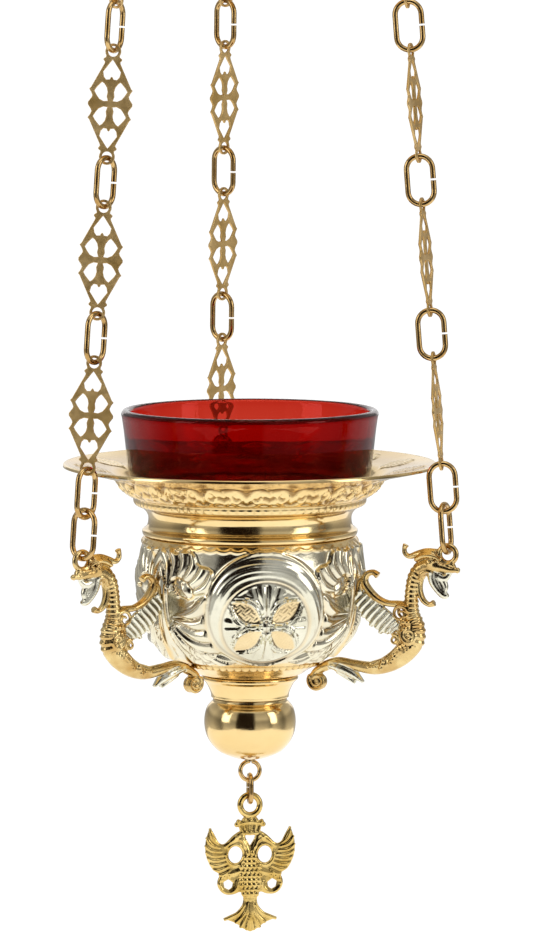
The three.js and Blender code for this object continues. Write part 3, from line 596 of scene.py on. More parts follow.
def medallion(x, y):
    # x runs to the right and y up from the medallion's centre. returns height, gold, painted shade and cover
    rosette, start, length = bowl["rosetteRadius"], bowl["petalStart"], bowl["petalLength"]
    fromEdge = bowl["medallionRadius"] - np.hypot(x, y)
    y = y + bowl["rosetteDrop"]
    reach = np.hypot(x, y)
    fromRosette = reach - rosette
    belt = np.clip(fromEdge, 0, None) * np.clip(fromRosette, 0, None)
    span = np.clip(np.clip(fromEdge, 0, None) + np.clip(fromRosette, 0, None), 0.2, None)
    height = 4 * belt / span ** 2 * (0.25 + 0.09 * span) * (fromRosette > 0)
    height = height + 0.5 * ridge(fromEdge, 0.55) + 0.3 * ridge(fromRosette - 0.1, 0.35)
    height = height + 0.22 * ridge(fromRosette + 0.75, 0.25)
    # scraper lines round the belt, that wander in and out and fade
    bearing = np.arctan2(y, x)
    lines = np.cos(fromRosette * 4.8 + 1.8 * np.sin(2 * bearing + 0.7) + 0.9 * np.sin(5 * bearing))
    fade = 0.55 + 0.45 * np.sin(3 * bearing + 0.6 * fromRosette)
    height = height + 0.1 * lines * fade * softStep(fromRosette, 0.6, 1.4) * softStep(fromEdge, 0.6, 1.4)
    gold = np.maximum(0.45 * ridge(fromEdge + 0.3, 0.7), 0.35 * ridge(fromRosette, 0.4))
    # painted shade just inside the medallion's rim and round the rosette
    paintedShade = 0.4 * ridge(fromEdge - 0.9, 0.25) + 0.4 * ridge(fromRosette + 0.4, 0.2)
    inside = softStep(-fromRosette, 0.9, 1.3)
    petals = 0 * x
    petalFill = 0 * x
    for turn in bowl["petals"]:
        a = math.radians(turn)
        u, v = x * math.cos(a) + y * math.sin(a), -x * math.sin(a) + y * math.cos(a)
        t = np.clip((u - start) / length, 0, 1)
        room = bowl["petalHalf"] * np.sin(t * math.pi) ** 0.85 - np.abs(v)
        live = (u > start) & (u < start + length)
        outline = live * (0.7 * ridge(room, 0.3) + 0.1 * softStep(room, 0, 0.6))
        echo = 0.5 * (u > start) * ridge(room + 0.95, 0.24)
        petals = np.maximum(petals, outline + echo)
        petalFill = np.maximum(petalFill, live * softStep(room, 0.3, 0.55))
    stipple = np.cos(x * 7.1 + 1.3 * np.sin(y * 3.1)) * np.cos(y * 7.3 + 1.1 * np.sin(x * 2.7))
    upArm = np.maximum(ridge(bearing - math.pi / 2, 0.5), ridge(bearing + math.pi / 2, 0.5))
    sideArm = np.maximum(ridge(bearing, 0.34), ridge(np.abs(bearing) - math.pi, 0.34))
    fan = np.abs(np.sin((bearing - math.pi / 2) * 11)) * upArm * softStep(reach, 2.5, 5)
    bars = np.abs(np.sin(bearing * 13)) * sideArm * softStep(reach, 4, 6)
    arms = (1 - petalFill) * (0.5 * fan + 0.42 * bars)
    boss = 0.75 * np.sqrt(np.clip(1 - (reach / 1.25) ** 2, 0, 1)) + 0.25 * ridge(reach - 1.9, 0.3)
    height = height + inside * (petals + petalFill * 0.09 * stipple + arms + boss - 0.15)
    gold = np.maximum(gold, inside * petalFill * 0.72)
    ground = (1 - petalFill) * softStep(0.08 - arms - petals, 0, 0.08) * upArm
    # painted shade in the low points of the stipple and on the ground between the arms
    paintedShade = paintedShade + inside * (petalFill * 0.12 * softStep(-stipple, 0, 1) + 0.35 * ground)
    return height, gold, np.clip(paintedShade, 0, 0.85), softStep(fromEdge, -0.9, -0.1)


def leafWork(x, y):
    # the acanthus between two medallions: x from its middle, y down from the bowl's top.
    # returns height, gold and painted shade
    side = np.abs(x)
    height, gold, paintedShade = 0 * x, 0.15 + 0 * x, 0 * x
    for baseX, baseY, aim, spread, length, ribs in acanthus:
        dx, dy = side - baseX, baseY - y
        reach, bearing = np.hypot(dx, dy), np.degrees(np.arctan2(dy, dx)) - aim
        lobe = length - reach + 0.9 * np.cos(np.radians(bearing) * ribs)
        live = softStep(spread - np.abs(bearing), 0, 8) * softStep(lobe, 0, 0.8)
        rib = np.abs(np.cos(np.radians(bearing + 18 * np.sin(reach * 0.22)) * ribs)) ** 0.8
        leaf = live * (0.35 + 0.95 * rib * softStep(reach, 0.5, 3)) * softStep(reach, 0, 1.5)
        height = np.maximum(height, leaf)
        # painted shade between the ribs of each fan
        paintedShade = np.maximum(paintedShade, live * softStep(0.45 - rib, 0, 0.45) * 0.6)
    # a slanting drop with a rim, over the fans
    u, v = (side - 7.6) * 0.82 + (y - 11) * 0.57, -(side - 7.6) * 0.57 + (y - 11) * 0.82
    drop = 1 - np.sqrt((u / 2.9) ** 2 + (v / 1.7) ** 2)
    boss = 0.9 * np.sqrt(np.clip(drop, 0, 1)) + 0.3 * ridge(drop + 0.12, 0.1)
    height = np.where(drop > -0.25, np.maximum(height * 0.3, boss), height)
    gold = np.maximum(gold, ridge(drop + 0.15, 0.14))
    stem = ridge(side - 1.2 - 0.012 * (y - 16) ** 2, 0.55)
    height = np.maximum(height, 0.7 * stem)
    gold = np.maximum(gold, 0.9 * stem)
    return height, gold, paintedShade


def bowlRelief(angle, along, line):
    # along is measured down from the bowl's top
    radius, widest = line[:, 0][:, None], bowl["widest"]
    height, gold, paintedShade = 0 * angle, 0 * angle, 0 * angle
    # the third value of each pattern is painted shade in its recesses
    for azimuth in chainAzimuth.values():
        turn = (angle - math.radians(azimuth) + math.pi) % tau - math.pi
        near = np.abs(turn) < math.radians(61)
        rise, gilt, localShade = leafWork(turn * widest * np.clip(radius / widest, 0.75, 1), along)
        height = np.where(near, rise, height)
        gold = np.where(near, gilt, gold)
        paintedShade = np.where(near, localShade, paintedShade)
    # the leaf work stops short of the top and of the bead moulding at the foot
    lace = softStep(along, 1.4, 2.2) * (1 - softStep(along, 31.5, 33))
    height, gold, paintedShade = height * lace, gold * lace + 1 - lace, paintedShade * lace
    for azimuth in medallionAzimuths:
        turn = (angle - math.radians(azimuth) + math.pi) % tau - math.pi
        x = turn * (0.45 * widest + 0.55 * np.clip(radius, 16, 28))
        rise, gilt, localShade, cover = medallion(x, bowl["medallionDrop"] - along)
        cover = cover * (np.abs(turn) < 1)
        height = height * (1 - cover) + cover * rise
        gold = gold * (1 - cover) + cover * gilt
        paintedShade = paintedShade * (1 - cover) + cover * localShade
    scallop = np.abs(np.cos(angle * bowl["scallops"] / 2))
    height = height + 0.3 * ridge(along - 1.1 - 0.5 * scallop, 0.35)
    foot = softStep(along, 33.2, 33.8)
    bead = np.abs(np.cos(angle * bowl["footBeads"] / 2)) ** 0.6
    height = height + 0.5 * ridge(along - 35.2, 0.6) * bead - 0.15 * ridge(along - 34.2, 0.2)
    # painted shade between the foot beads and in the groove above them
    paintedShade = paintedShade + 0.5 * ridge(along - 35.2, 0.8) * (1 - bead) + 0.4 * ridge(along - 34.2, 0.25)
    gold = np.maximum(gold, foot)
    return height, 1 - np.clip(gold, 0, 1), np.clip(paintedShade, 0, 0.85)


def makeBowl():
    profile = [(26.6, -18.25), (26.95, -19.3), (27, -20.7), (27.1, -22.5), (27.35, -24.5), (27.7, -27),
               (27.95, -30), (27.7, -33), (27.4, -35.5), (26.9, -38.3), (26, -41), (24.7, -43.4),
               (22.5, -45.8), (20.4, -48.2), (18.4, -49.7), (16.6, -50.8), (15.4, -51.5), (14.4, -52.1),
               (13.4, -52.8), (12.5, -53.2)]
    outer = smoothLine(profile, 8)[::-1]
    inner = [(25.2, -18.2), (25.2, -16.7), (24.5, -16.7), (24.5, -18.6), (26.2, -20), (26.4, -24),
             (27, -30), (26.2, -38), (22.2, -44.6), (17.8, -48.8), (12, -52.3), (1.6, -52.4), (1.6, -53.2)]
    total = np.linalg.norm(np.diff(outer, axis=0), axis=1).sum()

    def fromTop(angle, along, line):
        return bowlRelief(angle, total - along, line)

    piece = reliefShell("bowl_embossed", outer, bowl["rows"], bowl["steps"], fromTop, inner, embossedPlate,
                        "lamp", ["bowl"], rimHeight)


makeBowl()
print("cup, dish and bowl made")


# collar and knob: heights count from the foot of each CAD node

base = {"steps": 128, "bore": 1.6, "collarTop": 12.15, "knobRadius": 11.5, "knobMouth": 9.3}


def makeBase():
    bore, collarTop = base["bore"], base["collarTop"]
    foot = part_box("base_collar")[0].z / mm
    collar = [(9.0, 0.3), (9.3, 0), (9.75, 0), (9.8, 0.9), (10.05, 1.7), (10.6, 2.9), (11.2, 3.9),
              (11.75, 4.4), (12.1, 4.7), (collarTop, 5.2), (11.9, 5.6), (bore, 5.6), (bore, 1.2),
              (8.6, 1.2)]
    collar = [(radius, foot + height) for radius, height in collar]
    piece = turnedPiece("base_collar_spun", collar, base["steps"], spunGold, "lamp", ["base_collar"],
                        corner=0.4)
    low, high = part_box("base_knob")[0].z / mm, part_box("base_knob")[1].z / mm
    rising = [(bore, 0), (3.6, 0.15), (7.3, 1.6), (9.1, 3.1), (10.35, 4.8), (11.15, 6.7),
              (base["knobRadius"], 9), (11.35, 11.2), (10.8, 13), (9.9, 14.2)]
    mouth = [(9.35, high - 0.6), (base["knobMouth"], high)]
    outside = smoothLine([(radius, low + height) for radius, height in rising] + mouth, 4)
    inside = [(bore, high), (bore, high - 0.8), (8.4, high - 0.8), (10.6, low + 11), (10, low + 5.6),
              (6.6, low + 2.2), (bore, low + 0.8)]
    line = np.vstack([outside, inside])
    faces = gridFaces(len(line), base["steps"], closeRows=True)
    piece = makePiece("base_knob_spun", turnLine(line, base["steps"]), faces, spunGold, "lamp",
                      ["base_knob"], sharp=45)


makeBase()


# chain: wire links and pierced plates

link = {"length": 13.3, "width": 7.8, "wire": 1.4, "slit": 0.45, "sides": 14}
plate = {"width": 11, "thickness": 0.6, "reach": 12.8, "hole": 1.3, "tab": 1.95, "edge": 0.12}


def linkPath(length, width, slit, bendSteps=14):
    # the wire's centre line: a link with round ends, or a ring where length and width are equal
    bend, half = width / 2, (length - width) / 2
    up = [(bend, 0, z) for z in np.linspace(slit / 2, half, 4)]
    turn = np.linspace(0, math.pi, bendSteps + 1)[1:]
    over = [(bend * math.cos(a), 0, half + bend * math.sin(a)) for a in turn]
    down = [(-bend, 0, z) for z in np.linspace(half, -half, 6)[1:]]
    under = [(-bend * math.cos(a), 0, -half - bend * math.sin(a)) for a in turn]
    back = [(bend, 0, z) for z in np.linspace(-half, -slit / 2, 4)[1:]]
    path = up + over + (down if half > 0.01 else []) + under + (back if half > 0.01 else [])
    return np.array(path)


def arc(x, z, radius, start, end, count):
    angles = np.radians(np.linspace(start, end, count))
    return [(x + radius * math.cos(a), z + radius * math.sin(a)) for a in angles]


def filledPlate(outline, holes, thickness, edge):
    # a pierced plate in the X-Z plane with a small edge radius, made as a filled curve
    curve = bpy.data.curves.new("outline", "CURVE")
    curve.dimensions, curve.fill_mode = "2D", "BOTH"
    curve.extrude, curve.bevel_depth, curve.bevel_resolution = (thickness / 2 - edge) * mm, edge * mm, 1
    curve.offset = -edge * mm
    for loop in [outline] + holes:
        spline = curve.splines.new("POLY")
        spline.points.add(len(loop) - 1)
        spline.use_cyclic_u = True
        for point, (x, z) in zip(spline.points, loop):
            point.co = (x * mm, z * mm, 0, 1)
    holder = bpy.data.objects.new("outline", curve)
    bpy.context.scene.collection.objects.link(holder)
    mesh = bpy.data.meshes.new_from_object(holder.evaluated_get(bpy.context.evaluated_depsgraph_get()))
    bpy.data.objects.remove(holder)
    points = meshPoints(mesh)
    standing = np.column_stack([points[:, 0], -points[:, 2], points[:, 1]])
    return standing, [tuple(f.vertices) for f in mesh.polygons]


def plateMesh():
    half, reach, tab = plate["width"] / 2, plate["reach"], plate["tab"]
    quarter = [(half, 0.3), (half * 0.86, 1.35), (half * 0.82, 1.9), (half * 0.88, 2.7), (half * 0.98, 3.5),
               (half * 0.9, 3.95), (1.95, reach - 2.95), (1.9, reach - 2.6), (2.3, reach - 2.1),
               (2.25, reach - 1.8), (1.65, reach - 1.35)]
    top = quarter + arc(0, reach, tab, -30, 90, 12)
    right = top + [(-x, z) for x, z in reversed(top[:-1])]
    outline = right + [(x, -z) for x, z in reversed(right)]
    leaf = [(0.62, 0.78), (1.7, 0.68), (2.8, 1.2), (3.5, 2.1), (4.1, 3.1), (3.6, 3.9), (2.8, 4.8),
            (2.3, 5.3), (1.7, 4.9), (1.05, 4.0), (0.78, 2.9), (0.95, 1.8)]
    drop = [(0, 10.8), (0.55, 10.1), (1.4, 8.9), (2.2, 7.8), (1.95, 6.6), (1.35, 5.9), (0.45, 6.0),
            (0.2, 6.5), (0, 6.65)]
    drop = drop + [(-x, z) for x, z in reversed(drop[1:-1])]
    holes = []
    for up in (1, -1):
        holes.append(arc(0, up * reach, plate["hole"], 0, 340, 18))
        holes.append([(x, up * z) for x, z in drop])
        holes += [[(side * x, up * z) for x, z in leaf] for side in (1, -1)]
    return filledPlate(outline, holes, plate["thickness"], plate["edge"])


def standAs(points, node, axis):
    # moves points from a piece's own frame to where the CAD node stands, by the node's middle and widest way
    cad = meshPoints(frame["nodes"][node].data)
    unique = np.unique(np.round(cad, 4), axis=0)
    up = np.array(axis) / np.linalg.norm(axis)
    middle = np.array([joint["pos_m"] for joint in frame["joints"] if joint["child"] == node][0]) / mm
    flat = unique - middle
    flat = flat - np.outer(flat @ up, up)
    wide = np.linalg.eigh(flat.T @ flat)[1][:, 2]
    # an eigenvector has no sign of its own, so it is turned towards +X
    if wide[0] + 0.01 * wide[1] < 0:
        wide = -wide
    return points[:, :1] * wide + points[:, 1:2] * np.cross(up, wide) + points[:, 2:3] * up + middle


def makeChains():
    path = linkPath(link["length"] - link["wire"], link["width"] - link["wire"], link["slit"])
    linkPoints, linkFaces = tubeMesh(path, link["wire"] / 2, sides=link["sides"])
    platePoints, plateFaces = plateMesh()
    for joint in frame["joints"]:
        node = joint["child"]
        if not node.startswith("chain_"):
            continue
        if "_link_" in node:
            placed = standAs(linkPoints, node, joint["axis"])
            piece = makePiece(node + "_wire", placed, linkFaces, drawnWire, node, [node], sharp=50)
        else:
            placed = standAs(platePoints, node, joint["axis"])
            piece = makePiece(node + "_stamped", placed, plateFaces, stampedPlate, node, [node], sharp=25)


makeChains()
print("chains made")


# dragon handles: drawn in the plane of the lamp's radius (x) and height (z), then cast as one skin

dragon = {"loopRadius": 52.4, "loopDrop": -21, "ring": 2.15, "ringWire": 0.72, "grain": 0.2, "soften": 0.45,
          "feathers": 10, "studOut": 28.2, "studHeight": -32, "studLength": 4.2, "studRadius": 1}


def limb(points, perSpan=8, depth=0.85, ribs=None, lift=0.0):
    # points are (x, z, half width) or (x, z, half width, half depth)
    p = np.array([q if len(q) == 4 else (*q, q[2] * depth) for q in points], float)
    line = evenLine(smoothLine(p, perSpan), max(12, perSpan * (len(p) - 1) * 2))
    width, thick = line[:, 2].copy(), line[:, 3].copy()
    if ribs:
        start, end, pitch, size = ribs
        along = np.concatenate([[0], np.cumsum(np.linalg.norm(np.diff(line[:, :2], axis=0), axis=1))])
        share = along / along[-1]
        live = softStep(share, start, start + 0.03) * (1 - softStep(share, end - 0.03, end))
        wave = 1 + size * np.cos(along * tau / pitch) * live
        width, thick = width * wave, thick * wave
    path = np.column_stack([line[:, 0], 0 * width + lift, line[:, 1]])
    return tubeMesh(path, np.maximum(width, 0.12), np.maximum(thick, 0.12), sides=16, flatSide=(0, 1, 0))


def spiral(x, z, radius, turns, wire, start, way, lift):
    # a wire scroll that winds in from radius, on one face of a casting
    t = np.linspace(0, 1, int(26 * turns))
    a = start + way * t * turns * tau
    reach = radius * (1 - 0.82 * t)
    path = np.column_stack([x + reach * np.cos(a), 0 * t + lift, z + reach * np.sin(a)])
    return tubeMesh(path, wire * (1 - 0.35 * t), sides=8)


goldLimbs = {
    "body": ([(20.2, -50.2, 1.2, 1.3), (23.6, -49.2, 1.3, 1.6), (28, -49.7, 1.35, 1.7),
              (32.8, -50.2, 1.7, 1.9), (37, -48.9, 2.2, 2.1), (40.8, -46.2, 2.7, 2.2),
              (43.2, -42.7, 3.1, 2.4), (43.7, -39.5, 2.7, 2.3), (42.9, -36.2, 2.15, 2),
              (42.9, -33.2, 1.8, 1.8), (43.1, -30, 1.7, 1.7), (43.9, -27, 1.9, 1.8),
              (45.8, -24.8, 2.2, 1.9), (48.2, -23.9, 2, 1.9), (50.3, -23.5, 1.3, 1.5)],
             {"ribs": (0.5, 0.9, 1.2, 0.07)}),
    "brow": ([(44.2, -22.7, 0.7, 1.9), (46.4, -21.5, 0.9, 2.1), (48.8, -21.4, 0.85, 2),
              (50.6, -22.4, 0.5, 1.5)], {}),
    "muzzle": ([(48.4, -24, 1.8, 1.8), (51, -24.3, 1.35, 1.5), (53.2, -24.8, 0.9, 1.1),
                (55, -24.8, 0.6, 0.8)], {}),
    "nostril": ([(51.9, -23.6, 0.4, 0.9), (53.4, -23.5, 0.6, 0.95), (54.3, -24.1, 0.35, 0.8)], {}),
    "lipBall": ([(54.5, -24.8, 0.5, 0.7), (55, -24.9, 0.8, 0.85), (55.5, -25, 0.5, 0.7)], {}),
    "horn": ([(49.6, -20.6, 0.9, 1.2), (46.8, -20.6, 0.95, 1.2), (44.4, -21.3, 0.9, 1),
              (42.4, -21.9, 0.7, 0.9), (41.2, -21.1, 0.62, 0.8), (41.1, -19.9, 0.6, 0.75),
              (41.5, -19, 0.85, 0.9)], {}),
    "beard": ([(46.2, -25.6, 0.8, 1.3), (45.3, -27.6, 0.85, 1.2), (45.1, -30.2, 0.8, 1.1),
               (46, -32.6, 0.75, 1), (47.6, -33.7, 0.65, 0.9), (49, -33.2, 0.9, 1)], {}),
    "wingEdge": ([(43, -34.6, 1.4, 1.6), (39.8, -34, 1, 1.3), (36.6, -33.8, 0.85, 1.2),
                  (33.9, -32.7, 0.95, 1.2), (31.7, -30.7, 1.05, 1.25), (30.6, -28.7, 1, 1.2),
                  (31.2, -26.9, 0.85, 1.1), (32.9, -26.3, 0.75, 1), (34.2, -27.1, 0.95, 1)], {}),
    "wingRoot": ([(29.2, -31.6, 0.9, 1.1), (29.4, -29.4, 0.9, 1.1), (30.5, -27.6, 0.7, 1)], {}),
    "backEdge": ([(42.4, -35.5, 0.6, 2), (40.9, -38.2, 0.7, 2.1), (40.3, -41.6, 0.6, 2),
                  (39.9, -44.6, 0.6, 1.9), (37, -47.3, 0.5, 1.7), (32.6, -48.9, 0.45, 1.6)], {}),
    "tail": ([(24.2, -49.4, 1.25, 1.6), (20.8, -50.2, 1.25, 1.5), (18.1, -51.7, 1.1, 1.4),
              (16.5, -53.8, 0.9, 1.3)], {}),
}
silverLimbs = {
    "jaw": ([(48.4, -25.6, 1.4, 1.6), (48.7, -27.8, 1.25, 1.4), (49.9, -29.8, 1.05, 1.2),
             (51.5, -31.2, 1, 1), (52.6, -31.2, 0.55, 0.7)], {}),
    "palate": ([(49.2, -25.8, 1.2, 1.2), (50.2, -27.8, 1.15, 0.9), (51.2, -29.8, 0.8, 0.8)], {}),
    "tongue": ([(49.4, -26.2, 0.9, 1), (51.3, -27, 1.1, 1), (52.6, -26.2, 0.7, 0.7),
                (53.2, -25.5, 0.35, 0.4)], {}),
    "tongueFold": ([(51.2, -27.4, 0.8, 0.9), (51.9, -29, 0.7, 0.8), (51.6, -30.6, 0.5, 0.7)], {}),
    "leafMid": ([(21.6, -50, 0.9, 1.7), (24.6, -50.6, 1.5, 1.9), (27.6, -51.9, 1.3, 1.6),
                 (30.4, -53.9, 0.35, 0.7)], {}),
    "leafLow": ([(23.6, -51.4, 0.7, 1.4), (26, -52.7, 0.75, 1.2), (28.2, -54.2, 0.35, 0.8)], {}),
}
# rows of three scales on the body: the middle one's place and the row's slant
scaleRows = [(42.3, -38.2, 0), (42.6, -39.6, 0.1), (41.2, -44.6, 0.5), (42.4, -45.2, 0.7),
             (38.6, -47.7, 1.1), (35.9, -49, 1.3)]


def dragonParts():
    gold = {key: limb(points, **extra) for key, (points, extra) in goldLimbs.items()}
    silver = {key: limb(points, **extra) for key, (points, extra) in silverLimbs.items()}
    parts = list(gold.values()) + list(silver.values())
    x, z = dragon["loopRadius"], dragon["loopDrop"]
    a = np.linspace(0, tau, 40)
    loopPath = np.column_stack([x + dragon["ring"] * np.cos(a), 0 * a, z + dragon["ring"] * np.sin(a)])
    parts.append(tubeMesh(loopPath, dragon["ringWire"], sides=12))
    # wing: a thin web with bowed feathers over it, fanned from under the leading edge
    ribTops = smoothLine([(30, -31), (32.2, -32.6), (34.6, -34.2), (37, -35.6), (39, -37.4), (40, -39.6)],
                         4)
    ribEnds = smoothLine([(28.2, -33.2), (29.2, -35.6), (31, -37.9), (33.3, -39.9), (35.6, -41.3),
                          (38, -41.2)], 4)
    tops, ends = evenLine(ribTops, dragon["feathers"]), evenLine(ribEnds, dragon["feathers"])
    silverParts = []
    for top, end in zip((tops[1:] + tops[:-1]) / 2, (ends[1:] + ends[:-1]) / 2):
        silverParts.append(limb([(*top, 0.8, 0.6), (*((top + end) / 2 + [-0.5, -0.4]), 1, 0.65),
                                 (*end, 0.8, 0.55)]))
    bow = np.array([-0.75, -0.55])
    for k, (top, end) in enumerate(zip(tops, ends)):
        middle = (top + end) / 2 + bow
        tip = end + (end - top) * (0.1 if k % 2 else 0.02)
        beforeTip = tip * 0.9 + middle * 0.1
        silverParts.append(limb([(*top, 0.45, 0.8), (*middle, 0.6, 0.95), (*beforeTip, 0.6, 0.9),
                                 (*tip, 0.4, 0.6)]))
    parts += silverParts
    # scrolls on both faces of shoulder, haunch and wing root
    for lift in (1.75, -1.75):
        parts.append(spiral(40.6, -36.2, 2.2, 1.4, 0.5, 0.4, 1, lift * 0.95))
        parts.append(spiral(43, -41.4, 2.1, 1.9, 0.46, 2.6, 1, lift * 1.25))
        parts.append(spiral(39.2, -42.6, 1.4, 1.6, 0.42, 2.2, -1, lift * 1.1))
        parts.append(ballMesh((48.3, lift * 1.05, -23.2), (0.62, 0.5, 0.55)))
        parts.append(spiral(48.3, -23.2, 1.05, 1, 0.26, 0.3, 1, lift * 1.08))
        parts.append(limb([(45.6, -27.6, 0.35), (46, -26, 0.5), (47.4, -25.3, 0.5), (48.6, -25.6, 0.35)],
                          lift=lift * 0.85))
        parts.append(limb([(42.2, -44.4, 0.3), (40.8, -45.4, 0.45), (39, -46.9, 0.3)], lift=lift * 1.15))
        parts.append(limb([(41.4, -43.8, 0.3), (40.2, -44.6, 0.45), (38.2, -46.4, 0.3)], lift=lift * 1.1))
        # scales down the haunch and the underside of the neck
        for x, z, slant in scaleRows:
            for k in (-0.95, 0, 0.95):
                centre = (x + k * math.cos(slant), lift * 1.16, z + k * math.sin(slant))
                parts.append(ballMesh(centre, (0.62, 0.42, 0.62), 6, 10))
        # beads along the tail
        for t in np.linspace(0, 1, 9):
            parts.append(ballMesh((32.6 + 5.6 * t, lift * 0.98, -49.9 + 1.9 * t ** 1.6), 0.36, 6, 8))
    # tail scroll, a flat disc with a raised spiral on each face
    parts.append(ballMesh((18.2, 0, -54.2), (2.3, 1.2, 2.3), 12, 20))
    for lift in (0.95, -0.95):
        parts.append(spiral(18.2, -54.2, 2.3, 1.9, 0.55, 2.4, 1, lift))
    return parts, list(silver.values()) + silverParts


def dragonMask(points, silverParts):
    # 1 on the silvered limbs, by the nearest point of their rough skins
    silverPoints = np.vstack([p for p, _ in silverParts])
    silverPoints = silverPoints[np.lexsort(silverPoints.T)]
    mask = np.zeros(len(points))
    for start in range(0, len(points), 2000):
        block = points[start:start + 2000]
        gaps = np.min(np.linalg.norm(block[:, None, :] - silverPoints[None, ::2, :], axis=2), axis=1)
        mask[start:start + 2000] = 1 - softStep(gaps, 0.25, 0.5)
    return mask


def makeDragons():
    parts, silverParts = dragonParts()
    mesh = castMesh("dragon", parts, dragon["grain"], dragon["soften"])
    points = meshPoints(mesh)
    plating = dragonMask(points, silverParts)
    # painted shade in the recesses of the casting
    hollowShade = np.clip(softStep(cavities(mesh, 4), 0.015, 0.11) * 0.8, 0, 0.8)
    faces = [tuple(p.vertices) for p in mesh.polygons]
    out, height = dragon["studOut"], dragon["studHeight"]
    studPath = [(out, 0, height), (out - 1.2, 0, height), (out - dragon["studLength"], 0, height)]
    studPoints, studFaces = tubeMesh(studPath, dragon["studRadius"], sides=16)
    skin, allFaces = joinMeshes([(points, faces), (studPoints, studFaces)])
    plating = np.concatenate([plating, np.zeros(len(studPoints))])
    hollowShade = np.concatenate([hollowShade, np.zeros(len(studPoints))])
    for side, azimuth in chainAzimuth.items():
        placed = aroundZ(skin, azimuth) + [0, 0, rimHeight]
        piece = makePiece(f"dragon_{side}_cast", placed, allFaces, castGold, "lamp", [f"dragon_{side}"],
                          plating, hollowShade, sharp=80)


makeDragons()
print("dragons made")


# pendant: rings and the cast two-headed eagle

# tipReach and tipLevel place the tips of the wing feathers at tipShares, from the topmost to the lowest
eagle = {"loop": 2.55, "loopWire": 0.82, "core": 1.1, "feathers": 8, "scalePitch": 1.15, "scaleRows": 10,
         "grain": 0.16, "soften": 0.4, "tipShares": [0, 0.15, 0.3, 0.5, 0.7, 0.85, 1],
         "tipReach": [10.5, 11.5, 11.8, 11.5, 10.7, 9.6, 8.2],
         "tipLevel": [-5.6, -8, -10.1, -12.3, -14.4, -15.9, -17.3]}


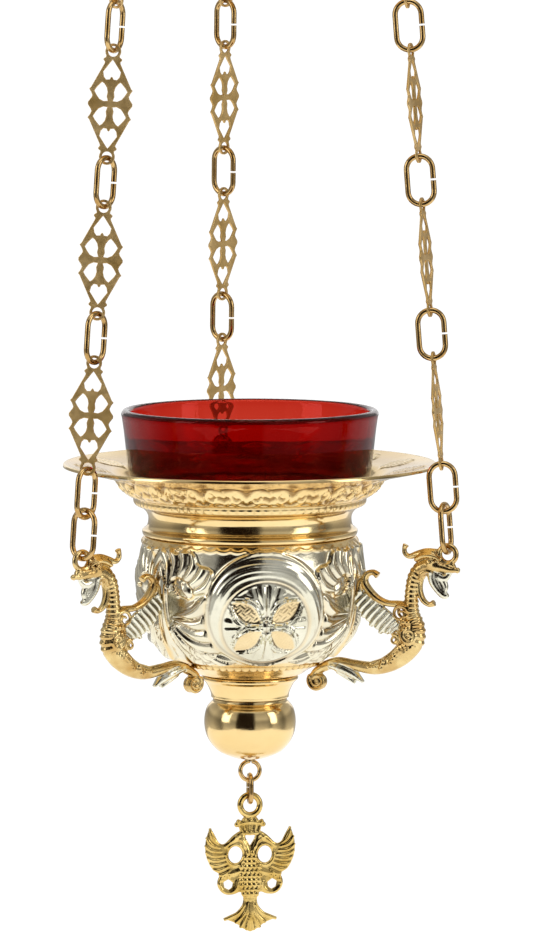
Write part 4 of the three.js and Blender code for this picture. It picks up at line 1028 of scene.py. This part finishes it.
def eagleParts():
    # x to the right and z up from the loop's centre: a thin pierced core with the relief laid on both faces
    half = smoothLine([(1.6, -3.3), (2.7, -4.4), (2.4, -7.1), (3.9, -7.5), (5.4, -8.6), (6.9, -9.7),
                       (8.2, -9.2), (9.2, -7.4), (10.4, -5.8), (11.4, -8.2), (11.7, -10.6), (11.3, -13.2),
                       (9.8, -16), (8, -17.3), (8.4, -19.6), (7, -21.9), (4.6, -22.4), (2.6, -21.8),
                       (1.8, -23.2), (2.2, -25.4), (4.6, -27.7), (6.3, -28.5), (3.8, -29.6), (1.9, -31),
                       (0, -31.8)], 3)
    outline = [(x, z) for x, z in half] + [(-x, z) for x, z in half[-2::-1]]
    holes = [[(0, -10.2), (1.1, -8.4), (1.45, -7.2), (0.9, -6.5), (0, -6.3), (-0.9, -6.5), (-1.45, -7.2),
              (-1.1, -8.4)]]
    for s in (1, -1):
        holes.append([(s * (3.85 + 1.85 * math.cos(a)), -12.4 + 2.15 * math.sin(a))
                      for a in np.linspace(0, tau, 18)[:-1]])
        holes.append([(s * 4.5, -19.4), (s * 5.7, -18.5), (s * 7, -19.2), (s * 6.7, -20.6),
                      (s * 5.6, -21.2), (s * 4.7, -20.6)])
    parts = [filledPlate(outline, holes, eagle["core"], 0.1)]
    a = np.linspace(0, tau, 36)
    loopPath = np.column_stack([eagle["loop"] * np.cos(a), 0 * a, eagle["loop"] * np.sin(a)])
    parts.append(tubeMesh(loopPath, eagle["loopWire"], sides=10))
    # crown: two bands, five pearls and upright bars between them
    parts.append(limb([(-2.9, -4.6, 0.42, 0.85), (0, -4.2, 0.5, 0.95), (2.9, -4.6, 0.42, 0.85)]))
    parts.append(limb([(-2.3, -6.9, 0.5, 0.9), (0, -7.1, 0.55, 0.95), (2.3, -6.9, 0.5, 0.9)]))
    for x in np.linspace(-2.8, 2.8, 5):
        parts.append(ballMesh((x * 1.08, 0, -3.6 - 0.07 * x * x), (0.6, 0.95, 0.65), 8, 10))
        parts.append(limb([(x, -4.6, 0.38, 0.8), (x * 0.8, -6.9, 0.34, 0.85)], perSpan=6))
    parts.append(limb([(0, -11.2, 1, 0.7), (0, -13.4, 1.9, 0.8), (0, -16.6, 3.1, 0.85),
                       (0, -19.6, 2.8, 0.85), (0, -22.4, 1.9, 0.8), (0, -25, 1.6, 0.75)]))
    for s in (1, -1):
        parts.append(ballMesh((3.5 * s, 0, -4.9), (0.65, 0.75, 0.65), 6, 10))
        # neck, head looking outwards with its beak on the wing, and an eye on each face
        parts.append(limb([(0.7 * s, -11.6, 0.8, 0.85), (1.5 * s, -9.6, 0.75, 0.9),
                           (2.2 * s, -7.8, 0.85, 0.9), (2.9 * s, -7, 0.8, 0.85)]))
        parts.append(limb([(2.5 * s, -7.2, 0.8, 0.9), (3.8 * s, -8.3, 1, 1), (5.2 * s, -9.3, 0.75, 0.9),
                           (6.6 * s, -10.4, 0.45, 0.7)]))
        for face in (0.85, -0.85):
            parts.append(ballMesh((3.6 * s, face, -8), (0.4, 0.3, 0.4), 6, 8))
            parts.append(limb([(1.4 * s, -10.6, 0.2), (2 * s, -9, 0.3), (2.9 * s, -8.5, 0.2)], lift=face))
        # the rim round the oval opening
        ring = [(s * (3.85 + 2.35 * math.cos(t)), -12.4 + 2.65 * math.sin(t), 0.48, 0.85)
                for t in np.linspace(0.7, 0.7 + tau * 0.9, 12)]
        parts.append(limb(ring, perSpan=4))
        # wing: feathers fanned up and outwards, each with a groove to the next
        for t in np.linspace(0, 1, eagle["feathers"]):
            root = np.array([(8.4 - 3.2 * t) * s, -9.6 - 6.6 * t])
            tip = np.array([np.interp(t, eagle["tipShares"], eagle["tipReach"]) * s,
                            np.interp(t, eagle["tipShares"], eagle["tipLevel"])])
            mid = (root + tip) / 2 + np.array([0.35 * s, -0.55])
            parts.append(limb([(*root, 0.38, 0.7), (*mid, 0.5, 0.95), (*tip, 0.34, 0.7)], perSpan=6))
        # thigh, and the claw closed round what it holds
        parts.append(limb([(2.4 * s, -16.4, 1, 0.9), (4.4 * s, -17, 0.75, 0.85), (6.2 * s, -17.3, 0.6, 0.8),
                           (7.7 * s, -18.3, 0.55, 0.8), (8 * s, -20, 0.55, 0.8),
                           (6.8 * s, -21.6, 0.55, 0.8), (5 * s, -21.9, 0.55, 0.8),
                           (3.6 * s, -20.8, 0.6, 0.85), (3.2 * s, -19, 0.7, 0.85)]))
        for t in np.linspace(0.3, 2.6, 5):
            centre = ((5.75 + 2.15 * math.cos(t - 0.9)) * s, 0, -19.8 + 2.1 * math.sin(t - 0.9))
            parts.append(ballMesh(centre, (0.4, 0.95, 0.4), 6, 8))
        # tail feathers
        for aim, length in ((8, 7.2), (22, 7), (37, 6.6)):
            b = math.radians(aim)
            tip = (math.sin(b) * length * s, -24.4 - math.cos(b) * length)
            mid = (math.sin(b * 0.75) * length * 0.5 * s, -24.4 - math.cos(b * 0.75) * length * 0.5)
            parts.append(limb([(0.5 * s, -24.4, 0.45, 0.8), (*mid, 0.45, 0.9), (*tip, 0.36, 0.75)],
                              perSpan=6))
        parts.append(limb([(1.4 * s, -25, 0.45, 0.75), (3 * s, -27, 0.45, 0.8), (5.2 * s, -28.1, 0.5, 0.75),
                           (6.9 * s, -28.7, 0.4, 0.6)]))
    parts.append(limb([(0, -24.6, 0.42, 0.85), (0, -28.4, 0.45, 0.95), (0, -31.8, 0.38, 0.75)], perSpan=6))
    # breast feathers: offset rows of pointed scales on both faces
    pitch = eagle["scalePitch"]
    for row in range(eagle["scaleRows"]):
        level = -12 - pitch * row
        wide = np.interp(level, [-25, -22, -18.5, -14, -12], [1.1, 1.9, 2.7, 1.9, 0.8])
        count = max(2, int(round(2 * wide / pitch)) + row % 2)
        for k in range(count):
            x = (k - (count - 1) / 2) * pitch
            for face in (0.78, -0.78):
                parts.append(ballMesh((x, face, level), (0.56, 0.42, 0.7), 6, 8))
    return parts


def makePendant():
    low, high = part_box("eagle_pendant")
    mesh = castMesh("eagle", eagleParts(), eagle["grain"], eagle["soften"], 2)
    points = meshPoints(mesh)
    # stretched to fill the node's box
    placed = points * (np.array(high - low) / mm / (points.max(axis=0) - points.min(axis=0)))
    placed[:, 2] += high.z / mm - placed[:, 2].max()
    # painted shade in the recesses of the casting
    hollowShade = np.clip(softStep(cavities(mesh, 4), 0.012, 0.09) * 0.85, 0, 0.85)
    faces = [tuple(p.vertices) for p in mesh.polygons]
    piece = makePiece("eagle_pendant_cast", placed, faces, yellowCasting, "eagle_pendant", ["eagle_pendant"],
                      None, hollowShade, sharp=80)


def roundWire(name, node, body, wire, slit, standing):
    # a wire ring or link where a CAD ring stands; standing is "XZ" or "YZ"
    low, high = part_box(node)
    length = (high.z - low.z) / mm - wire
    width = ((high.x - low.x) if standing == "XZ" else (high.y - low.y)) / mm - wire
    points, faces = tubeMesh(linkPath(max(length, width), width, slit, 18), wire / 2, sides=14)
    if standing == "YZ":
        points = np.column_stack([-points[:, 1], points[:, 0], points[:, 2]])
    middle = np.array((low + high) / 2) / mm
    piece = makePiece(name, points + middle, faces, drawnWire, body, [node], sharp=50)


def eyeBolt(name, node, body, width, wire, stem, ringAtTop, thread):
    # a ring bent from the end of its own shank, threaded at the other end
    low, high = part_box(node)[0].z / mm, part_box(node)[1].z / mm
    centre = high - width / 2 if ringAtTop else low + width / 2
    reach = (width - wire) / 2
    way = -1 if ringAtTop else 1
    a = np.linspace(0, tau * 0.965, 44) + (math.pi / 2) * way
    ring = np.column_stack([reach * np.cos(a), 0 * a, centre + reach * np.sin(a)])
    parts = [tubeMesh(ring, wire / 2, sides=14)]
    start, end = (low, centre - reach) if ringAtTop else (centre + reach, high)
    height = np.linspace(start, end, 140)
    inThread = (height < start + thread) if ringAtTop else (height > end - thread)
    size = stem - inThread * 0.12 * (0.5 + 0.5 * np.cos(height * tau / 0.5))
    parts.append(tubeMesh(np.column_stack([0 * height, 0 * height, height]), size, sides=16))
    points, faces = joinMeshes(parts)
    piece = makePiece(name, points, faces, drawnWire, body, [node], sharp=60)


makePendant()
roundWire("pendant_ring_wire", "pendant_ring", "pendant_ring", wire=1.2, slit=0.2, standing="YZ")
eyeBolt("tie_rod_eye_bent", "tie_rod_eye", "lamp", width=6, wire=1.1, stem=1.2, ringAtTop=False, thread=8)
print("pendant made")


# canopy, finial, ring and hook

canopy = {"height": 15, "shoulder": 31, "edge": 39.2, "sheet": 0.8, "hole": 1.85, "holeInset": 2.8,
          "steps": 288, "rows": 120, "beads": 90, "beadRing": 31.6, "lines": (33, 24, 9)}


def canopyRelief(angle, along, line):
    # turned lines on the flat and the dome, and a ring of beads at the dome's foot, with painted shade
    # between the beads and in the lines
    radius = line[:, 0][:, None]
    bead = np.abs(np.cos(angle * canopy["beads"] / 2)) ** 0.6
    rim, middle, crown = canopy["lines"]
    height = 0.35 * ridge(radius - canopy["beadRing"], 0.6) * bead
    height = height - 0.14 * ridge(radius - rim, 0.25) - 0.12 * ridge(radius - middle, 0.25)
    height = height - 0.12 * ridge(radius - crown, 0.25)
    paintedShade = 0.5 * ridge(radius - canopy["beadRing"], 0.9) * (1 - bead) + 0.4 * ridge(radius - rim, 0.3)
    paintedShade = paintedShade + 0.3 * ridge(radius - middle, 0.3) + 0.3 * ridge(radius - crown, 0.3)
    return height, 0 * angle, np.clip(paintedShade, 0, 0.7)


def drillHoles(piece, flat):
    # the three chain holes in the canopy's flat
    out = canopy["edge"] - canopy["holeInset"]
    drills = []
    for azimuth in chainAzimuth.values():
        a = math.radians(azimuth)
        path = [(out * math.cos(a), out * math.sin(a), flat + height) for height in (-3, 3)]
        drills.append(tubeMesh(path, canopy["hole"], sides=28))
    points, faces = joinMeshes(drills)
    mesh = bpy.data.meshes.new("canopy_drill")
    mesh.from_pydata((points * mm).tolist(), [], faces)
    drill = bpy.data.objects.new("canopy_drill", mesh)
    bpy.context.scene.collection.objects.link(drill)
    cut = piece.modifiers.new("holes", "BOOLEAN")
    cut.operation, cut.object, cut.solver = "DIFFERENCE", drill, "EXACT"
    made = bpy.data.meshes.new_from_object(piece.evaluated_get(bpy.context.evaluated_depsgraph_get()))
    piece.modifiers.clear()
    piece.data = made
    bpy.data.objects.remove(drill)


def makeCanopy():
    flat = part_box("canopy_dome")[0].z / mm + canopy["sheet"]
    edge, shoulder, height = canopy["edge"], canopy["shoulder"], canopy["height"]
    outer = smoothLine([(edge, 0), (36, 0), (33, 0.05), (shoulder, 0.25), (29.9, 1.8), (28.8, 4.3),
                        (26.4, 6.9), (22.9, 9.4), (18.8, 11.5), (14.7, 13), (10, 14.3), (7, 14.9),
                        (1.8, height)], 6)
    inner = smoothLine([(1.8, height - 0.8), (7, 14.1), (14.4, 12.2), (22.4, 8.7), (28.1, 4), (29.3, 1.2),
                        (30.6, -0.6), (33, -0.75), (edge, -0.8)], 6)
    piece = reliefShell("canopy_dome_spun", outer, canopy["rows"], canopy["steps"], canopyRelief, inner,
                        spunGold, "lamp", ["canopy_dome"], flat)
    drillHoles(piece, flat)


finial = {"bore": 1.75, "height": 10, "steps": 96}


def makeFinial():
    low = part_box("canopy_finial")[0].z / mm
    bore, top, steps = finial["bore"], low + finial["height"], finial["steps"]
    line = np.vstack([
        [(bore, low), (6.1, low)],
        smoothLine([(6.5, low + 0.35), (6.45, low + 0.9), (6, low + 1.3)], 4),
        smoothLine([(4.6, low + 1.7), (3.6, low + 2.5), (4.2, low + 3.4), (5.3, low + 4.4),
                    (5.6, low + 5.6), (5.1, low + 6.8), (4.1, low + 7.7), (3.2, low + 8.3),
                    (3.5, low + 8.9), (3.2, low + 9.7), (2.6, top)], 5),
        [(bore, top)]])
    faces = gridFaces(len(line), steps, closeRows=True)
    piece = makePiece("canopy_finial_turned", turnLine(line, steps), faces, spunGold, "lamp",
                      ["canopy_finial"], sharp=50)


hook = {"wire": 2.2, "top": 6, "bottom": 5, "shank": 17, "points": 90, "taper": 0.35}


def makeHook():
    # an S of wire: a bend that opens to +X above, and one that opens to -X below, with tapered ends
    top, bottom, wire, count = hook["top"], hook["bottom"], hook["wire"], hook["points"]
    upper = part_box("hanging_hook")[1].z / mm - wire / 2 - top
    lower = wire / 2 - top - hook["shank"]
    bendUp = [(top * math.cos(a), upper + top * math.sin(a)) for a in np.radians(np.linspace(-20, 180, 26))]
    shank = [(-top + (top + bottom) * t, upper + (lower - upper) * t) for t in np.linspace(0, 1, 12)[1:-1]]
    below = np.radians(np.linspace(0, -200, 24))
    bendDown = [(bottom * math.cos(a), lower + bottom * math.sin(a)) for a in below]
    line = evenLine(np.array(bendUp + shank + bendDown), count)
    path = np.column_stack([line[:, 0], 0 * line[:, 0], line[:, 1]])
    at = np.arange(float(count))
    taper = 1 - hook["taper"] * (1 - softStep(at, 0, 4))
    taper = taper - hook["taper"] * softStep(at, count - 5, count - 1)
    points, faces = tubeMesh(path, wire / 2 * taper, sides=16)
    piece = makePiece("hanging_hook_bent", points, faces, drawnWire, "hook", ["hanging_hook"], sharp=60)


makeCanopy()
makeFinial()
eyeBolt("canopy_eyebolt_bent", "canopy_eyebolt", "lamp", width=8.4, wire=1.8, stem=1.4, ringAtTop=True,
        thread=8)
roundWire("hanging_ring_wire", "hanging_ring", "ring", wire=1.8, slit=0.15, standing="YZ")
makeHook()
print("canopy and hook made")


# nuts, washer and wick float keep their CAD shapes, with a small edge radius

keptNodes = {"float_cork": barkCork, "float_wick": braidedCotton, "float_collar": zincSteel,
             "tie_rod_washer": zincSteel, "tie_rod_nut": zincSteel, "canopy_nut": zincSteel,
             "dragon_right_nut": zincSteel, "dragon_rear_nut": zincSteel, "dragon_left_nut": zincSteel}
keptEdge = 0.12


def dressNodes():
    for name, material in keptNodes.items():
        node = frame["nodes"][name]
        for slot in node.material_slots:
            slot.material = material
        edge = node.modifiers.new("edge", "BEVEL")
        edge.width, edge.segments, edge.limit_method = keptEdge * mm, 2, "ANGLE"


dressNodes()


# studio: camera sizes in millimetres and degrees, the floor's own size in metres

studio = {"distance": 1250, "azimuth": -8.6, "aimSide": 4.4, "aimDrop": 3.1, "eyeRise": 120.5,
          "lens": 190.6, "floorDrop": 90, "floorSize": 0.95}


def makeFloor():
    # a pale board under the lamp: matt paint with a faint mottle, 30 patches to the metre
    low = cadBounds[0].z - studio["floorDrop"] * mm
    size = studio["floorSize"] / 2
    mesh = bpy.data.meshes.new("floor")
    corners = [(-size, -size, low), (size, -size, low), (size, size, low), (-size, size, low)]
    mesh.from_pydata(corners, [], [(0, 1, 2, 3)])
    floor = bpy.data.objects.new("floor", mesh)
    bpy.context.scene.collection.objects.link(floor)
    material, tree, output = startMaterial("board_painted_pale")
    place = addNode(tree, "ShaderNodeTexCoord").outputs["Object"]
    mottle = addNode(tree, "ShaderNodeTexNoise", {"Scale": 30, "Detail": 3}, {"Vector": place})
    tone = addNode(tree, "ShaderNodeValToRGB", None, {"Fac": mottle.outputs["Fac"]})
    setStops(tone, [(0.3, "#F8F8F7"), (0.7, "#FDFDFC")])
    shader = addNode(tree, "ShaderNodeBsdfDiffuse", None, {"Color": tone.outputs["Color"]})
    tree.links.new(shader.outputs[0], output.inputs["Surface"])
    mesh.materials.append(material)


# strengths by height and round about, from 0 to 1 of the way; the gap is in degrees from the front
tent = {"gap": (-44, 4), "gapLow": -0.5, "gapHigh": 0.72, "gapColour": "#1A110A", "paper": 1.08,
        "levels": [(0.0, 0.75), (0.4, 0.6), (0.47, 0.42), (0.54, 0.3), (0.62, 0.6), (0.78, 0.4),
                   (0.88, 0.7), (1.0, 0.55)],
        "seams": [(0.0, 0.8), (0.18, 1.0), (0.26, 0.3), (0.29, 1.0), (0.37, 0.9), (0.52, 1.0), (0.6, 0.95),
                  (0.625, 0.35), (0.65, 1.0), (0.74, 0.35), (0.78, 1.0), (1.0, 0.8)]}


def makeWorld():
    # a pale tent with darker seams, and one dark gap in front that the polished metal mirrors
    world = bpy.data.worlds.new("tent")
    world.use_nodes = True
    bpy.context.scene.world = world
    tree = world.node_tree
    tree.nodes.clear()
    way = addNode(tree, "ShaderNodeTexCoord").outputs["Generated"]
    split = addNode(tree, "ShaderNodeSeparateXYZ", None, {0: way})
    rise = addNode(tree, "ShaderNodeMapRange", {1: -1.0, 2: 1.0}, {0: split.outputs["Z"]})
    level = addNode(tree, "ShaderNodeValToRGB", None, {"Fac": rise.outputs[0]})
    setStops(level, tent["levels"])
    front = addNode(tree, "ShaderNodeMath", {"operation": "MULTIPLY", 1: -1.0}, {0: split.outputs["Y"]})
    turn = addNode(tree, "ShaderNodeMath", {"operation": "ARCTAN2"},
                   {0: split.outputs["X"], 1: front.outputs[0]})
    around = addNode(tree, "ShaderNodeMapRange", {1: -math.pi, 2: math.pi}, {0: turn.outputs[0]})
    seams = addNode(tree, "ShaderNodeValToRGB", None, {"Fac": around.outputs[0]})
    setStops(seams, tent["seams"])
    walls = addNode(tree, "ShaderNodeMix", {"data_type": "RGBA", "blend_type": "MULTIPLY", 0: 1.0},
                    {6: level.outputs["Color"], 7: seams.outputs["Color"]})
    # the gap is the product of its four soft sides
    gapLeft, gapRight = tent["gap"]
    sides = [(turn.outputs[0], math.radians(gapLeft - 2), math.radians(gapLeft + 2)),
             (turn.outputs[0], math.radians(gapRight + 2), math.radians(gapRight - 2)),
             (split.outputs["Z"], tent["gapLow"], tent["gapLow"] + 0.06),
             (split.outputs["Z"], tent["gapHigh"], tent["gapHigh"] - 0.06)]
    gap = None
    for source, outside, inside in sides:
        side = addNode(tree, "ShaderNodeMapRange", {1: outside, 2: inside}, {0: source})
        if gap is None:
            gap = side
        else:
            gap = addNode(tree, "ShaderNodeMath", {"operation": "MULTIPLY"},
                          {0: gap.outputs[0], 1: side.outputs[0]})
    dark = addNode(tree, "ShaderNodeMix", {"data_type": "RGBA", 7: linear(tent["gapColour"])},
                   {0: gap.outputs[0], 6: walls.outputs[2]})
    # the backdrop itself, and what shows through the glass or lights matt surfaces, is even white paper
    seen = addNode(tree, "ShaderNodeLightPath")
    room = addNode(tree, "ShaderNodeBackground", {"Strength": 1.0}, {"Color": dark.outputs[2]})
    paper = addNode(tree, "ShaderNodeBackground", {"Color": (1, 1, 1, 1), "Strength": tent["paper"]})
    plain = addNode(tree, "ShaderNodeMath", {"operation": "MAXIMUM"},
                    {0: seen.outputs["Is Camera Ray"], 1: seen.outputs["Is Diffuse Ray"]})
    plain = addNode(tree, "ShaderNodeMath", {"operation": "MAXIMUM"},
                    {0: plain.outputs[0], 1: seen.outputs["Is Transmission Ray"]})
    both = addNode(tree, "ShaderNodeMixShader", None, {0: plain.outputs[0], 1: room.outputs[0],
                                                       2: paper.outputs[0]})
    addNode(tree, "ShaderNodeOutputWorld", None, {"Surface": both.outputs[0]})


def addSoftbox(name, place, aim, size, power):
    light = bpy.data.lights.new(name, "AREA")
    light.shape, light.size, light.size_y, light.energy = "RECTANGLE", size[0], size[1], power
    box = bpy.data.objects.new(name, light)
    box.location = place
    box.rotation_euler = (Vector(aim) - Vector(place)).to_track_quat("-Z", "Y").to_euler()
    bpy.context.scene.collection.objects.link(box)


# side, front to back and rise from the lamp's middle in metres, width and height in metres, and watts
softboxes = {"left": ((-1.15, -0.35, 0.4), (0.5, 0.8), 2.6), "right": ((0.95, -0.7, 0.35), (0.4, 0.8), 2.4),
             "top": ((0.1, -0.3, 1.1), (0.8, 0.8), 2), "back": ((0.2, 1.3, 0.35), (1.2, 0.8), 2.2)}


def makeLights():
    middle = (0, 0, (rimHeight - 30) * mm)
    for side, ((x, y, rise), size, power) in softboxes.items():
        addSoftbox("softbox_" + side, (x, y, middle[2] + rise), middle, size, power)


def makeCamera():
    a = math.radians(studio["azimuth"])
    aimSide, distance = studio["aimSide"], studio["distance"]
    target = Vector((math.cos(a) * aimSide, math.sin(a) * aimSide, rimHeight - studio["aimDrop"])) * mm
    place = Vector((math.sin(a) * distance, -math.cos(a) * distance, rimHeight + studio["eyeRise"])) * mm
    lens = bpy.data.cameras.new("camera")
    lens.lens, lens.sensor_width, lens.clip_end = studio["lens"], 36, 100
    camera = bpy.data.objects.new("camera", lens)
    camera.location = place
    camera.rotation_euler = (target - place).to_track_quat("-Z", "Y").to_euler()
    bpy.context.scene.collection.objects.link(camera)
    bpy.context.scene.camera = camera


makeFloor()
makeWorld()
makeLights()
makeCamera()
bpy.context.scene.view_settings.view_transform = "Standard"
print("studio ready")
